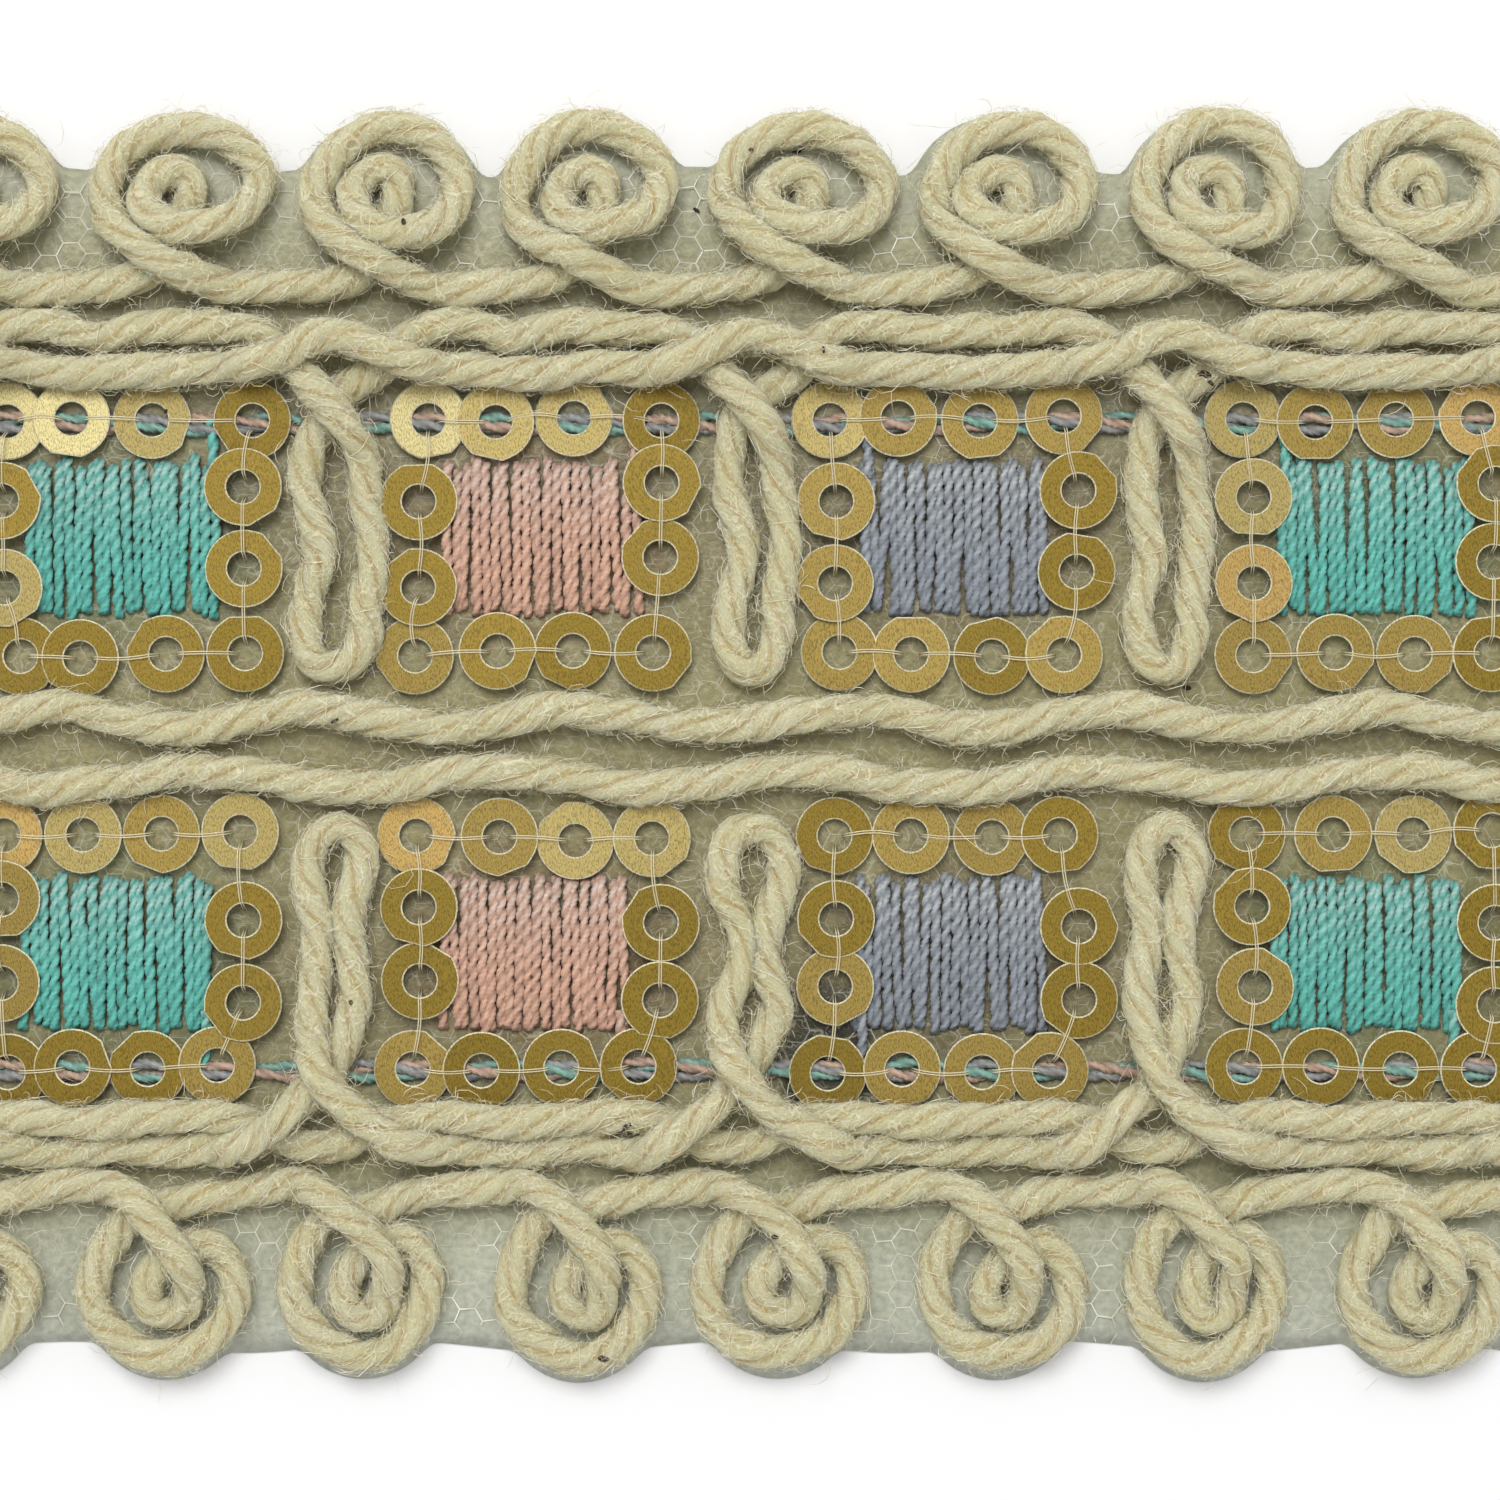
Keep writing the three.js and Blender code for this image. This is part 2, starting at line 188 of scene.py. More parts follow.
def tube_uv(strands, steps, sides, round_mm, along):
    """UV for the faces above. along has the distance of each ring of each strand."""
    side = np.arange(sides) * round_mm / sides
    step = round_mm / sides
    u = np.stack([side, side + step, side + step, side], -1)
    u = np.broadcast_to(u, (strands, steps - 1, sides, 4))
    v = np.stack([along[:, :-1], along[:, :-1], along[:, 1:], along[:, 1:]], -1)
    v = np.broadcast_to(v[:, :, None, :], u.shape)
    walls = np.stack([u, v], -1).reshape(-1, 2)
    first = np.stack(np.broadcast_arrays(side[::-1], along[:, :1]), -1).reshape(-1, 2)
    last = np.stack(np.broadcast_arrays(side, along[:, -1:]), -1).reshape(-1, 2)
    return np.concatenate([walls, first, last])


def make_piece(name, points, faces, material, uv=None, colours=None):
    """A finished object at the origin, riding on the trim, from points in millimetres."""
    mesh = bpy.data.meshes.new(name)
    mesh.from_pydata((np.asarray(points) * MM).tolist(), [], faces)
    mesh.polygons.foreach_set("use_smooth", np.ones(len(mesh.polygons), bool))
    if uv is not None:
        layer = mesh.uv_layers.new(name="lie")
        layer.data.foreach_set("uv", np.asarray(uv, np.float32).ravel())
    if colours is not None:
        # the stored tone carries painted light: groove shade on yarn and thread, sheen on thread, rim
        # highlight on sequins
        layer = mesh.color_attributes.new("dye", "FLOAT_COLOR", "POINT")
        rgba = np.concatenate([colours, np.ones((len(colours), 1))], 1)
        layer.data.foreach_set("color", rgba.astype(np.float32).ravel())
    mesh.materials.append(material)
    mesh.validate()
    piece = bpy.data.objects.new(name, mesh)
    bpy.context.collection.objects.link(piece)
    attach(piece, "root")
    triangles = sum(len(face.vertices) - 2 for face in mesh.polygons)
    print(name, "has", triangles, "triangles")
    return piece


print("tube helpers are ready")

# %% [markdown]
# ## Paths and yarn
# A yarn's path is a short list of points. A centripetal Catmull-Rom curve runs smoothly through
# them, and is then cut into even steps. Each step carries two directions, one flat across the
# yarn and one up, so the yarn never rolls over by accident: only its own twist turns it.
# Four plies make the yarn's outline a clover, and the clover turns once in PLY_PITCH.

# %% Paths
Path = namedtuple("Path", "centre across up along twist swell groove length")
WANDER_WAVES = 5
CURVE_STEPS = 16
HAND = -1


def catmull_rom(points, step):
    p = np.array(points, float)
    p = np.vstack([2 * p[0] - p[1], p, 2 * p[-1] - p[-2]])
    gap = np.sqrt(np.linalg.norm(np.diff(p, axis=0), axis=1))[:, None]
    before, here, after = gap[:-2], gap[1:-1], gap[2:]
    p0, p1, p2, p3 = p[:-3], p[1:-2], p[2:-1], p[3:]
    leave = here * ((p1 - p0) / before - (p2 - p0) / (before + here) + (p2 - p1) / here)
    arrive = here * ((p2 - p1) / here - (p3 - p1) / (here + after) + (p3 - p2) / after)
    t = np.linspace(0, 1, CURVE_STEPS, endpoint=False)[None, :, None]
    a, b, c, d = p1[:, None], leave[:, None], p2[:, None], arrive[:, None]
    curve = (2 * t**3 - 3 * t**2 + 1) * a + (t**3 - 2 * t**2 + t) * b
    curve = curve + (3 * t**2 - 2 * t**3) * c + (t**3 - t**2) * d
    curve = np.vstack([curve.reshape(-1, 3), p2[-1:]])
    run = np.concatenate([[0], np.cumsum(np.linalg.norm(np.diff(curve, axis=0), axis=1))])
    even = np.linspace(0, run[-1], max(3, int(run[-1] / step)))
    return np.stack([np.interp(even, run, curve[:, axis]) for axis in range(3)], 1), even


def slow_noise(along, wave, amount):
    """A smooth random wave along a path, different at each call."""
    total = np.zeros_like(along)
    for number in range(WANDER_WAVES):
        length = wave * rng.uniform(0.6, 1.8)
        total += np.sin(TURN * along / length + rng.uniform(0, TURN))
    return amount * total / math.sqrt(WANDER_WAVES)


def make_path(points, step, pitch, wander=0.0, wave=7.0, hand=HAND, uneven=0.0):
    centre, along = catmull_rom(points, step)
    centre[:, 0] += slow_noise(along, wave, wander)
    centre[:, 1] += slow_noise(along, wave, wander)
    ahead = np.gradient(centre, axis=0)
    ahead /= np.linalg.norm(ahead, axis=1)[:, None]
    across = np.cross([0, 0, 1], ahead)
    across /= np.maximum(np.linalg.norm(across, axis=1), 1e-6)[:, None]
    up = np.cross(ahead, across)
    tightness = 1 + slow_noise(along, 20, 0.08)
    twist = hand * TURN / pitch * np.cumsum(tightness * np.gradient(along))
    twist += slow_noise(along, 5, uneven * 3)
    swell = 1 + slow_noise(along, 6, uneven)
    groove = 1 + slow_noise(along, 3, uneven * 6)
    return Path(centre, across, up, along, twist, swell, groove, along[-1])


print("a path has even steps, two directions and a twist")

# %% Yarn surface
PLY_PITCH = 8.6
PLIES = 4
YARN_WIDTH = 1.8
YARN_HEIGHT = 1.62
YARN_SIDES = 20
YARN_STEP = 0.32
YARN_UNEVEN = 0.05
PLY_DEPTH = 0.21
TUFT = 0.055


def ply_outline(phase, plies, depth):
    return 1 - depth * (1 - np.abs(np.sin(plies / 2 * phase)) ** 0.85)


def on_yarn(path, along, phase, proud, width, height, plies, depth):
    """Points on the skin of a yarn, proud of it by some millimetres, and the way out there."""
    def sample(values):
        return np.stack([np.interp(along, path.along, values[:, axis]) for axis in range(3)], -1)

    turn = phase + np.interp(along, path.along, path.twist)
    groove = depth * np.interp(along, path.along, path.groove)
    reach = ply_outline(phase, plies, groove) * np.interp(along, path.along, path.swell)
    out = sample(path.across) * (np.cos(turn) * width / 2)[..., None]
    out = out + sample(path.up) * (np.sin(turn) * height / 2)[..., None]
    way = out / np.linalg.norm(out, axis=-1)[..., None]
    return sample(path.centre) + out * reach[..., None] + way * proud[..., None], way


def yarn_rings(path, sides, width, height, plies, depth, uneven=0.0):
    phase, along = np.meshgrid(np.arange(sides) * TURN / sides, path.along)
    proud = np.zeros_like(phase)
    if uneven:
        for ply in range(plies):
            mine = np.floor(phase / (TURN / plies)) == ply
            swell = slow_noise(path.along, 5, uneven)[:, None]
            proud += np.where(mine, swell * np.abs(np.sin(plies / 2 * phase)), 0)
        proud += slow_noise(path.along, 9, uneven)[:, None]
        tufts = rng.normal(0, TUFT, proud.shape)
        proud += (tufts + np.roll(tufts, 1, 0) + np.roll(tufts, -1, 0)) / 3
    points, way = on_yarn(path, along, phase, proud, width, height, plies, depth)
    return points


print("a yarn is", YARN_WIDTH, "mm thick and turns once in", PLY_PITCH, "mm")

# %% [markdown]
# ## Shader nodes in few words
# A material is a chain of nodes. Written out, each node takes a line of its own, and so does each
# setting and each link. One helper does all of that for one node and hands back the node's
# output, so that a chain reads like a short sum.

# %% Node helpers
def fill_inputs(tree, node, values):
    """An input is linked where its value is a socket, and otherwise it is set to the value."""
    for label, value in values.items():
        if isinstance(value, bpy.types.NodeSocket):
            tree.links.new(value, node.inputs[label])
        else:
            node.inputs[label].default_value = value


def spaced(values):
    return {label.replace("_", " "): value for label, value in values.items()}


def place_node(tree, kind, *values, out=0, settings=None, **named):
    """The output of a new node. Values fill its inputs in order, and named ones by name."""
    node = tree.nodes.new("ShaderNode" + kind)
    for label, value in (settings or {}).items():
        setattr(node, label, value)
    fill_inputs(tree, node, dict(enumerate(values)))
    fill_inputs(tree, node, spaced(named))
    return node.outputs[out]


def place_math(tree, operation, *values):
    return place_node(tree, "Math", *values, settings={"operation": operation})


def place_vector_math(tree, operation, *values, out=0):
    return place_node(tree, "VectorMath", *values, out=out, settings={"operation": operation})


def place_range(tree, value, low, high, new_low=0.0, new_high=1.0):
    """The value, with low to high spread from new_low to new_high, and held there beyond them."""
    return place_node(tree, "MapRange", value, low, high, new_low, new_high)


def place_noise(tree, place, **values):
    return place_node(tree, "TexNoise", Vector=place, **values)


def place_mix(tree, factor, first, second, blend="MIX"):
    settings = {"data_type": "RGBA", "blend_type": blend}
    return place_node(tree, "Mix", Factor=factor, A=first, B=second, out="Result", settings=settings)


def object_place(tree):
    return place_node(tree, "TexCoord", out="Object")


print("node helpers are ready")

# %% [markdown]
# ## Shader effects that several materials share
# Node groups keep an effect in one place. `fibre streaks` draws fine lines along a twisted strand
# from its UV map. `soft clouds` gives the slow change of tone that dyed and natural fibres have.
# `soft spot` is the mask of a soft round spot, used for a stain and for patches of thread tint and
# painted shade. `loose fibres` is a mask of fine curly lines, for the
# thousands of hairs that are too thin to model one by one.

# %% Shared node groups
SOCKET_KINDS = {1: "NodeSocketFloat", 3: "NodeSocketVector", 4: "NodeSocketColor"}


def new_group(name, inputs, outputs):
    """An empty group. A socket's kind follows from how many numbers its first value has."""
    group = bpy.data.node_groups.new(name, "ShaderNodeTree")
    for way, sockets in (("INPUT", inputs), ("OUTPUT", outputs)):
        for label, value in sockets.items():
            kind = SOCKET_KINDS[np.size(value)]
            group.interface.new_socket(label, in_out=way, socket_type=kind).default_value = value
    return group, group.nodes.new("NodeGroupInput").outputs, group.nodes.new("NodeGroupOutput")


def fibre_streaks_group():
    inputs = {"Across": 5.0, "Along": 0.5, "Skew": 0.0}
    group, enter, leave = new_group("fibre streaks", inputs, {"Tone": 0.0, "Height": 0.0})
    lie = place_node(group, "UVMap", settings={"uv_map": "lie"})
    split = place_node(group, "SeparateXYZ", lie).node.outputs
    leaning = place_math(group, "MULTIPLY_ADD", split["Y"], enter["Skew"], split["X"])
    straight = place_node(group, "CombineXYZ", leaning, split["Y"])
    scale = place_node(group, "CombineXYZ", enter["Across"], enter["Along"])
    stretched = place_vector_math(group, "MULTIPLY", straight, scale)
    broad = place_noise(group, stretched, Scale=1.0, Detail=4, Roughness=0.65, Distortion=0.6)
    fine = place_noise(group, stretched, Scale=3.4, Detail=3, Distortion=0.4)
    height = place_math(group, "ADD", broad, fine)
    fill_inputs(group, leave, {"Tone": place_range(group, height, 0.72, 1.28), "Height": height})
    return group


def soft_clouds_group():
    inputs = {"Colour A": (1, 1, 1, 1), "Colour B": (0, 0, 0, 1), "Scale": 100.0}
    group, enter, leave = new_group("soft clouds", inputs, {"Colour": (1, 1, 1, 1)})
    noise = place_noise(group, object_place(group), Scale=enter["Scale"], Detail=3)
    share = place_range(group, noise, 0.32, 0.68)
    fill_inputs(group, leave, {"Colour": place_mix(group, share, enter["Colour A"], enter["Colour B"])})
    return group


def soft_spot_group():
    inputs = {"Centre": (0, 0, 0), "Reach": (0.001, 0.001, 1)}
    group, enter, leave = new_group("soft spot", inputs, {"Mask": 0.0})
    place = object_place(group)
    offset = place_vector_math(group, "SUBTRACT", place, enter["Centre"])
    share = place_vector_math(group, "DIVIDE", offset, enter["Reach"])
    distance = place_vector_math(group, "LENGTH", share, out="Value")
    ragged = place_math(group, "ADD", distance, place_noise(group, place, Scale=900))
    fill_inputs(group, leave, {"Mask": place_range(group, ragged, 1.6, 1.1)})
    return group


def loose_fibres_group():
    inputs = {"Scale": 1200.0, "Width": 0.01, "Strength": 0.5}
    group, enter, leave = new_group("loose fibres", inputs, {"Mask": 0.0})
    place = object_place(group)
    masks = []
    for curl, size in ((0.8, 1.0), (1.8, 1.7)):
        scale = place_math(group, "MULTIPLY", enter["Scale"], size)
        noise = place_noise(group, place, Scale=scale, Detail=1, Distortion=curl)
        away = place_math(group, "ABSOLUTE", place_math(group, "SUBTRACT", noise, 0.5))
        masks.append(place_range(group, away, enter["Width"], 0, 0, enter["Strength"]))
    fill_inputs(group, leave, {"Mask": place_math(group, "MAXIMUM", *masks)})
    return group


FIBRE_STREAKS = fibre_streaks_group()
SOFT_CLOUDS = soft_clouds_group()
SOFT_SPOT = soft_spot_group()
LOOSE_FIBRES = loose_fibres_group()
print("node groups:", [group.name for group in bpy.data.node_groups])

# %% Material helpers
def new_material(name, **values):
    """A material, its tree and its shader, with the values that are the same all over."""
    material = bpy.data.materials.new(name)
    material.use_nodes = True
    tree = material.node_tree
    shader = tree.nodes["Principled BSDF"]
    fill_inputs(tree, shader, spaced(values))
    return material, tree, shader


def place_group(tree, group, **values):
    return place_node(tree, "Group", settings={"node_tree": group}, **values)


def place_clouds(tree, scale, first, second):
    return place_group(tree, SOFT_CLOUDS, Scale=scale, Colour_A=(*first, 1), Colour_B=(*second, 1))


def place_spot(tree, colour, centre, reach, tint):
    """The colour with a soft spot of a tint over it. Centre and reach are in millimetres."""
    spot = (centre[0] * MM, centre[1] * MM, 0)
    mask = place_group(tree, SOFT_SPOT, Centre=spot, Reach=(reach[0] * MM, reach[1] * MM, 1))
    return place_mix(tree, mask, colour, place_mix(tree, 1.0, colour, (*tint, 1), "MULTIPLY"))


def place_tone_and_painted_light(tree, out="Color"):
    """The stored tone of each point or corner, with painted shade and painted highlight in it."""
    return place_node(tree, "Attribute", out=out, settings={"attribute_name": "dye"})


def place_bump(tree, shader, height, distance, strength=1.0):
    """Relief from a height. The distance is in millimetres."""
    normal = place_node(tree, "Bump", Height=height, Distance=distance * MM, Strength=strength)
    tree.links.new(normal, shader.inputs["Normal"])


def paint(red, green, blue):
    """A colour as a photo editor gives it, 0 to 255, as the linear one that shaders use."""
    levels = [channel / 255 for channel in (red, green, blue)]
    return tuple(((level + 0.055) / 1.055) ** 2.4 for level in levels)


print("mid grey as a shader sees it:", round(paint(128, 128, 128)[0], 3))

# %% White table
TABLE_WHITE = (0.93, 0.93, 0.94, 1)
table_material, tree, shader = new_material("table_white", Roughness=0.9, Base_Color=TABLE_WHITE)
table_top.data.materials.append(table_material)
print("table is", table_material.name)

# %% [markdown]
# ## The sheer ground
# Under the net lies a hazy film. Its long edges are cut in scallops round the rosettes. The
# outline is a formula: the highest of the rosettes' arcs at each place, rounded off a little.
# The flat shape is cut with a grid of bisect cuts, so that it has faces fine enough to pucker,
# and Solidify gives it its thickness.

# %% Outline and lie of the ground
OUTLINE_STEP = 0.3
ROUNDING = 3
DROOP = 1.5
FILM_EDGE = 0.1
FILM_THICKNESS = 0.09

outline_x = np.arange(-NET_LENGTH / 2, NET_LENGTH / 2 + OUTLINE_STEP / 2, OUTLINE_STEP)


def outline_y(edge):
    height = edge.valley + 0.35 + 0.3 * np.sin(outline_x * 0.37 + 2 * edge.side)
    for number, centre in enumerate(rosette_centres(edge)):
        wide = edge.bump_x * (1 + 0.05 * math.sin(3.1 * number))
        high = edge.bump_y * (1 + 0.025 * math.sin(2.3 * number + 1))
        inside = np.clip(1 - ((outline_x - centre) / wide) ** 2, 0, 1)
        height = np.maximum(height, high * np.sqrt(inside))
    window = np.ones(ROUNDING) / ROUNDING
    padded = np.pad(height, ROUNDING // 2, mode="edge")
    return edge.y + edge.side * np.convolve(padded, window, mode="valid")


UPPER_Y = outline_y(UPPER_EDGE)
LOWER_Y = outline_y(LOWER_EDGE)


def inside_by(x, y):
    """How far a place lies inside the outline, measured straight across or along the strip."""
    upper = np.interp(x, outline_x, UPPER_Y) - y
    lower = y - np.interp(x, outline_x, LOWER_Y)
    ends = NET_LENGTH / 2 - np.abs(x)
    return np.minimum(np.minimum(upper, lower), ends)


def ground_height(x, y):
    share = np.clip(inside_by(x, y) / DROOP, 0, 1)
    lift = share * share * (3 - 2 * share)
    pucker = 0.07 * np.sin(x * 0.9 + 1.3 * np.sin(y * 0.4)) * np.sin(y * 0.8 + np.sin(x * 0.35))
    pucker += 0.035 * np.sin(x * 2.3 + y * 1.1) * np.sin(y * 2.6 - x * 0.7)
    return FILM_EDGE + (BED - FILM_EDGE + pucker) * lift


print("outline is", round(UPPER_Y.max() - LOWER_Y.min(), 1), "mm wide")

# %% [markdown]
# The film is not clean. Round each block it takes the tint of the threads behind it, and it is
# darker inside each frame, as painted shade. There is also a dark stain beside the third block of
# the lower row. All are soft spots that tint the haze.

# %% Film material
STAIN_PLACE = (6.1, -16.2)
STAIN_REACH = (3.4, 4.4)
STAIN_TINT = (0.16, 0.15, 0.09)
# Round each block: the tint of the threads behind the film, and painted shade inside the frame.
FRAME_TINT_REACH = (7.4, 5.9)
FRAME_TINT_ROWS = (10.85, -10.45)
FRAME_TINTS_AND_SHADE = ((0.62, 0.74, 0.64), (0.76, 0.59, 0.48), (0.64, 0.59, 0.54), (0.62, 0.74, 0.64))
FILM_TINT_SHADE_AND_STAIN = [
    ((-30 + REPEAT * number, y), FRAME_TINT_REACH, tint)
    for y in FRAME_TINT_ROWS
    for number, tint in enumerate(FRAME_TINTS_AND_SHADE)
]
FILM_TINT_SHADE_AND_STAIN.append((STAIN_PLACE, STAIN_REACH, STAIN_TINT))


FILM_HALF_WIDTH = 32.5
# The film's tone across the strip, as a share of its width: lighter at the sheer free edges, and darker
# inside the yarn bands, where the darker tones are painted shade from the yarn and the sequins.
FILM_TONES_WITH_SHADE = [
    (0.0, (208, 211, 198)),
    (0.1, (196, 199, 178)),
    (0.17, (168, 164, 120)),
    (0.3, (148, 138, 96)),
    (0.44, (162, 153, 106)),
    (0.54, (164, 156, 108)),
    (0.7, (148, 138, 96)),
    (0.85, (158, 152, 110)),
    (0.91, (174, 172, 136)),
    (1.0, (206, 209, 190)),
]
HAZE_CLOUDS = [
    (300.0, (0.82, 0.82, 0.8), (1.0, 1.0, 1.0)),
    (2600.0, (0.8, 0.8, 0.79), (1.1, 1.1, 1.1)),
]


def film_material():
    material, tree, shader = new_material("hazy_film", Roughness=0.42, Alpha=0.88)
    place = object_place(tree)
    across = place_node(tree, "SeparateXYZ", place, out="Y")
    share = place_range(tree, across, -FILM_HALF_WIDTH * MM, FILM_HALF_WIDTH * MM)
    # painted shade: this tone ramp is darker inside the yarn bands
    hazy = place_node(tree, "ValToRGB", share)
    tones = hazy.node.color_ramp.elements
    for position, colour in FILM_TONES_WITH_SHADE[1:-1]:
        tones.new(position)
    for tone, (position, colour) in zip(tones, FILM_TONES_WITH_SHADE):
        tone.color = (*paint(*colour), 1)
    for scale, first, second in HAZE_CLOUDS:
        hazy = place_mix(tree, 1.0, hazy, place_clouds(tree, scale, first, second), "MULTIPLY")
    # thread tint and painted shade round each block, and the stain
    for centre, reach, tint in FILM_TINT_SHADE_AND_STAIN:
        hazy = place_spot(tree, hazy, centre, reach, tint)
    fallen = place_group(tree, LOOSE_FIBRES, Scale=620.0, Width=0.014, Strength=0.58)
    hazy = place_mix(tree, fallen, hazy, (*paint(206, 202, 170), 1))
    tree.links.new(hazy, shader.inputs["Base Color"])
    place_bump(tree, shader, place_noise(tree, place, Scale=2600, Detail=4), 0.08, 0.8)
    return material


FILM = film_material()
print("film is", FILM.name)

# %% Cut the film
GRID = 1.6
GRID_REACH = (NET_LENGTH / 2, NET_WIDTH / 2)

bpy.ops.object.select_all(action="DESELECT")
top = np.stack([outline_x, UPPER_Y], 1)
bottom = np.stack([outline_x, LOWER_Y], 1)
rim = np.vstack([bottom, top[::-1]])
flat_points = np.column_stack([rim, np.zeros(len(rim))])
film_mesh = bpy.data.meshes.new("net_film")
film_mesh.from_pydata((flat_points * MM).tolist(), [], [list(range(len(rim)))])
film = bpy.data.objects.new("net_film", film_mesh)
bpy.context.collection.objects.link(film)
film.select_set(True)
bpy.context.view_layer.objects.active = film
bpy.ops.object.mode_set(mode="EDIT")
for axis, reach in enumerate(GRID_REACH):
    direction = (1, 0, 0) if axis == 0 else (0, 1, 0)
    for cut in np.arange(-reach + GRID, reach, GRID):
        bpy.ops.mesh.select_all(action="SELECT")
        spot = (cut * MM, 0, 0) if axis == 0 else (0, cut * MM, 0)
        bpy.ops.mesh.bisect(plane_co=spot, plane_no=direction)
bpy.ops.mesh.select_all(action="SELECT")
bpy.ops.mesh.quads_convert_to_tris()
bpy.ops.object.mode_set(mode="OBJECT")
flat = np.empty(len(film_mesh.vertices) * 3)
film_mesh.vertices.foreach_get("co", flat)
flat = flat.reshape(-1, 3)
flat[:, 2] = ground_height(flat[:, 0] / MM, flat[:, 1] / MM) * MM
film_mesh.vertices.foreach_set("co", flat.ravel())
film_mesh.polygons.foreach_set("use_smooth", np.ones(len(film_mesh.polygons), bool))
film.modifiers.new("thickness", "SOLIDIFY").thickness = FILM_THICKNESS * MM
bpy.ops.object.modifier_apply(modifier="thickness")
film_mesh.materials.append(FILM)
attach(film, "root")
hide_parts("net_ground")

# %% [markdown]
# ## The net
# Tulle is a honeycomb. One filament is a thin three-sided rod. Six of them make the smallest
# piece that repeats, and two Array modifiers lay it out over the strip. What falls outside the
# scallops is taken away, the rest is pulled a little out of true, as worn net is, and laid on
# the film.

# %% Net material
NET_FAINT_WITHIN = 21
NET_FULL_BEYOND = 26


def net_material():
    """Pale filaments that show in patches, and less towards the middle of the strip than along the edges."""
    material, tree, shader = new_material("net_filament", Roughness=0.28)
    place = object_place(tree)
    show = place_range(tree, place_noise(tree, place, Scale=420, Detail=2), 0.38, 0.66, 0.22)
    from_middle = place_math(tree, "ABSOLUTE", place_node(tree, "SeparateXYZ", place, out="Y"))
    faint_middle = place_range(tree, from_middle, NET_FAINT_WITHIN * MM, NET_FULL_BEYOND * MM, 0.36)
    colour = place_clouds(tree, 900.0, paint(226, 225, 208), paint(252, 250, 238))
    fill_inputs(tree, shader, {"Base Color": colour, "Alpha": place_math(tree, "MULTIPLY", show, faint_middle)})
    return material


NET = net_material()
print("net is", NET.name)

# %% Knit the net
CELL_SIDE = 0.755
FILAMENT = 0.034
FILAMENT_LAP = 1.04
NET_ABOVE_FILM = 0.02
NET_MARGIN = 0.35

tile_width = 3 * CELL_SIDE
tile_height = math.sqrt(3) * CELL_SIDE
filaments = []
for cell_x, cell_y in ((0, 0), (tile_width / 2, tile_height / 2)):
    for number in range(3):
        middle = math.radians(30 + 60 * number)
        reach = CELL_SIDE * math.cos(math.radians(30))
        spot = (cell_x + reach * math.cos(middle), cell_y + reach * math.sin(middle), 0)
        bpy.ops.mesh.primitive_cylinder_add(
            vertices=3,
            radius=FILAMENT * MM,
            depth=CELL_SIDE * FILAMENT_LAP * MM,
            location=[value * MM for value in spot],
            rotation=(-math.pi / 2, 0, middle),
        )
        filaments.append(bpy.context.object)
bpy.ops.object.select_all(action="DESELECT")
for filament in filaments:
    filament.select_set(True)
bpy.context.view_layer.objects.active = filaments[0]
bpy.ops.object.join()
bpy.ops.object.transform_apply(location=True, rotation=True, scale=True)
net = bpy.context.object
net.name = "net_cells"
net.data.name = "net_cells"
columns = math.ceil(NET_LENGTH / tile_width) + 1
rows = math.ceil(NET_WIDTH / tile_height) + 1
for label, count, shift in (("along", columns, (tile_width, 0, 0)), ("across", rows, (0, tile_height, 0))):
    array = net.modifiers.new(label, "ARRAY")
    array.use_relative_offset = False
    array.use_constant_offset = True
    array.constant_offset_displace = [value * MM for value in shift]
    array.count = count
    bpy.ops.object.modifier_apply(modifier=label)

co = np.empty(len(net.data.vertices) * 3)
net.data.vertices.foreach_get("co", co)
co = co.reshape(-1, 3) / MM
co[:, 0] -= columns * tile_width / 2
co[:, 1] -= rows * tile_height / 2
x, y = co[:, 0].copy(), co[:, 1].copy()
co[:, 0] += 0.14 * np.sin(y * 0.55 + np.sin(x * 0.21) * 2) + 0.05 * np.sin(y * 3.1 + x)
co[:, 1] += 0.16 * np.sin(x * 0.47 + np.sin(y * 0.3) * 2) + 0.05 * np.sin(x * 2.7 - y)
rods = co.reshape(-1, 6, 3)
keep = inside_by(rods.mean(1)[:, 0], rods.mean(1)[:, 1]) > NET_MARGIN
rods = rods[keep]
rods[:, :, 2] += ground_height(rods[:, :, 0], rods[:, :, 1]) + NET_ABOVE_FILM
one_rod = [tuple(face.vertices) for face in net.data.polygons[:5]]
faces = [tuple(corner + 6 * rod for corner in face) for rod in range(len(rods)) for face in one_rod]
bpy.data.objects.remove(net)
net = make_piece("net_cells", rods.reshape(-1, 3), faces, NET)
net.data.polygons.foreach_set("use_smooth", np.zeros(len(net.data.polygons), bool))
print("net has", len(rods), "filaments")

# %% [markdown]
# ## Wool yarn
# The yarn is pale cream. Deep between the plies its colour is painted a warm ochre, as painted
# shade and as the painted glow of light that has gone through the wool. The depth of the groove
# is stored on the mesh as a colour, so that the shader can tell a ply's crest from the groove
# beside it. Fine streaks follow the twist.

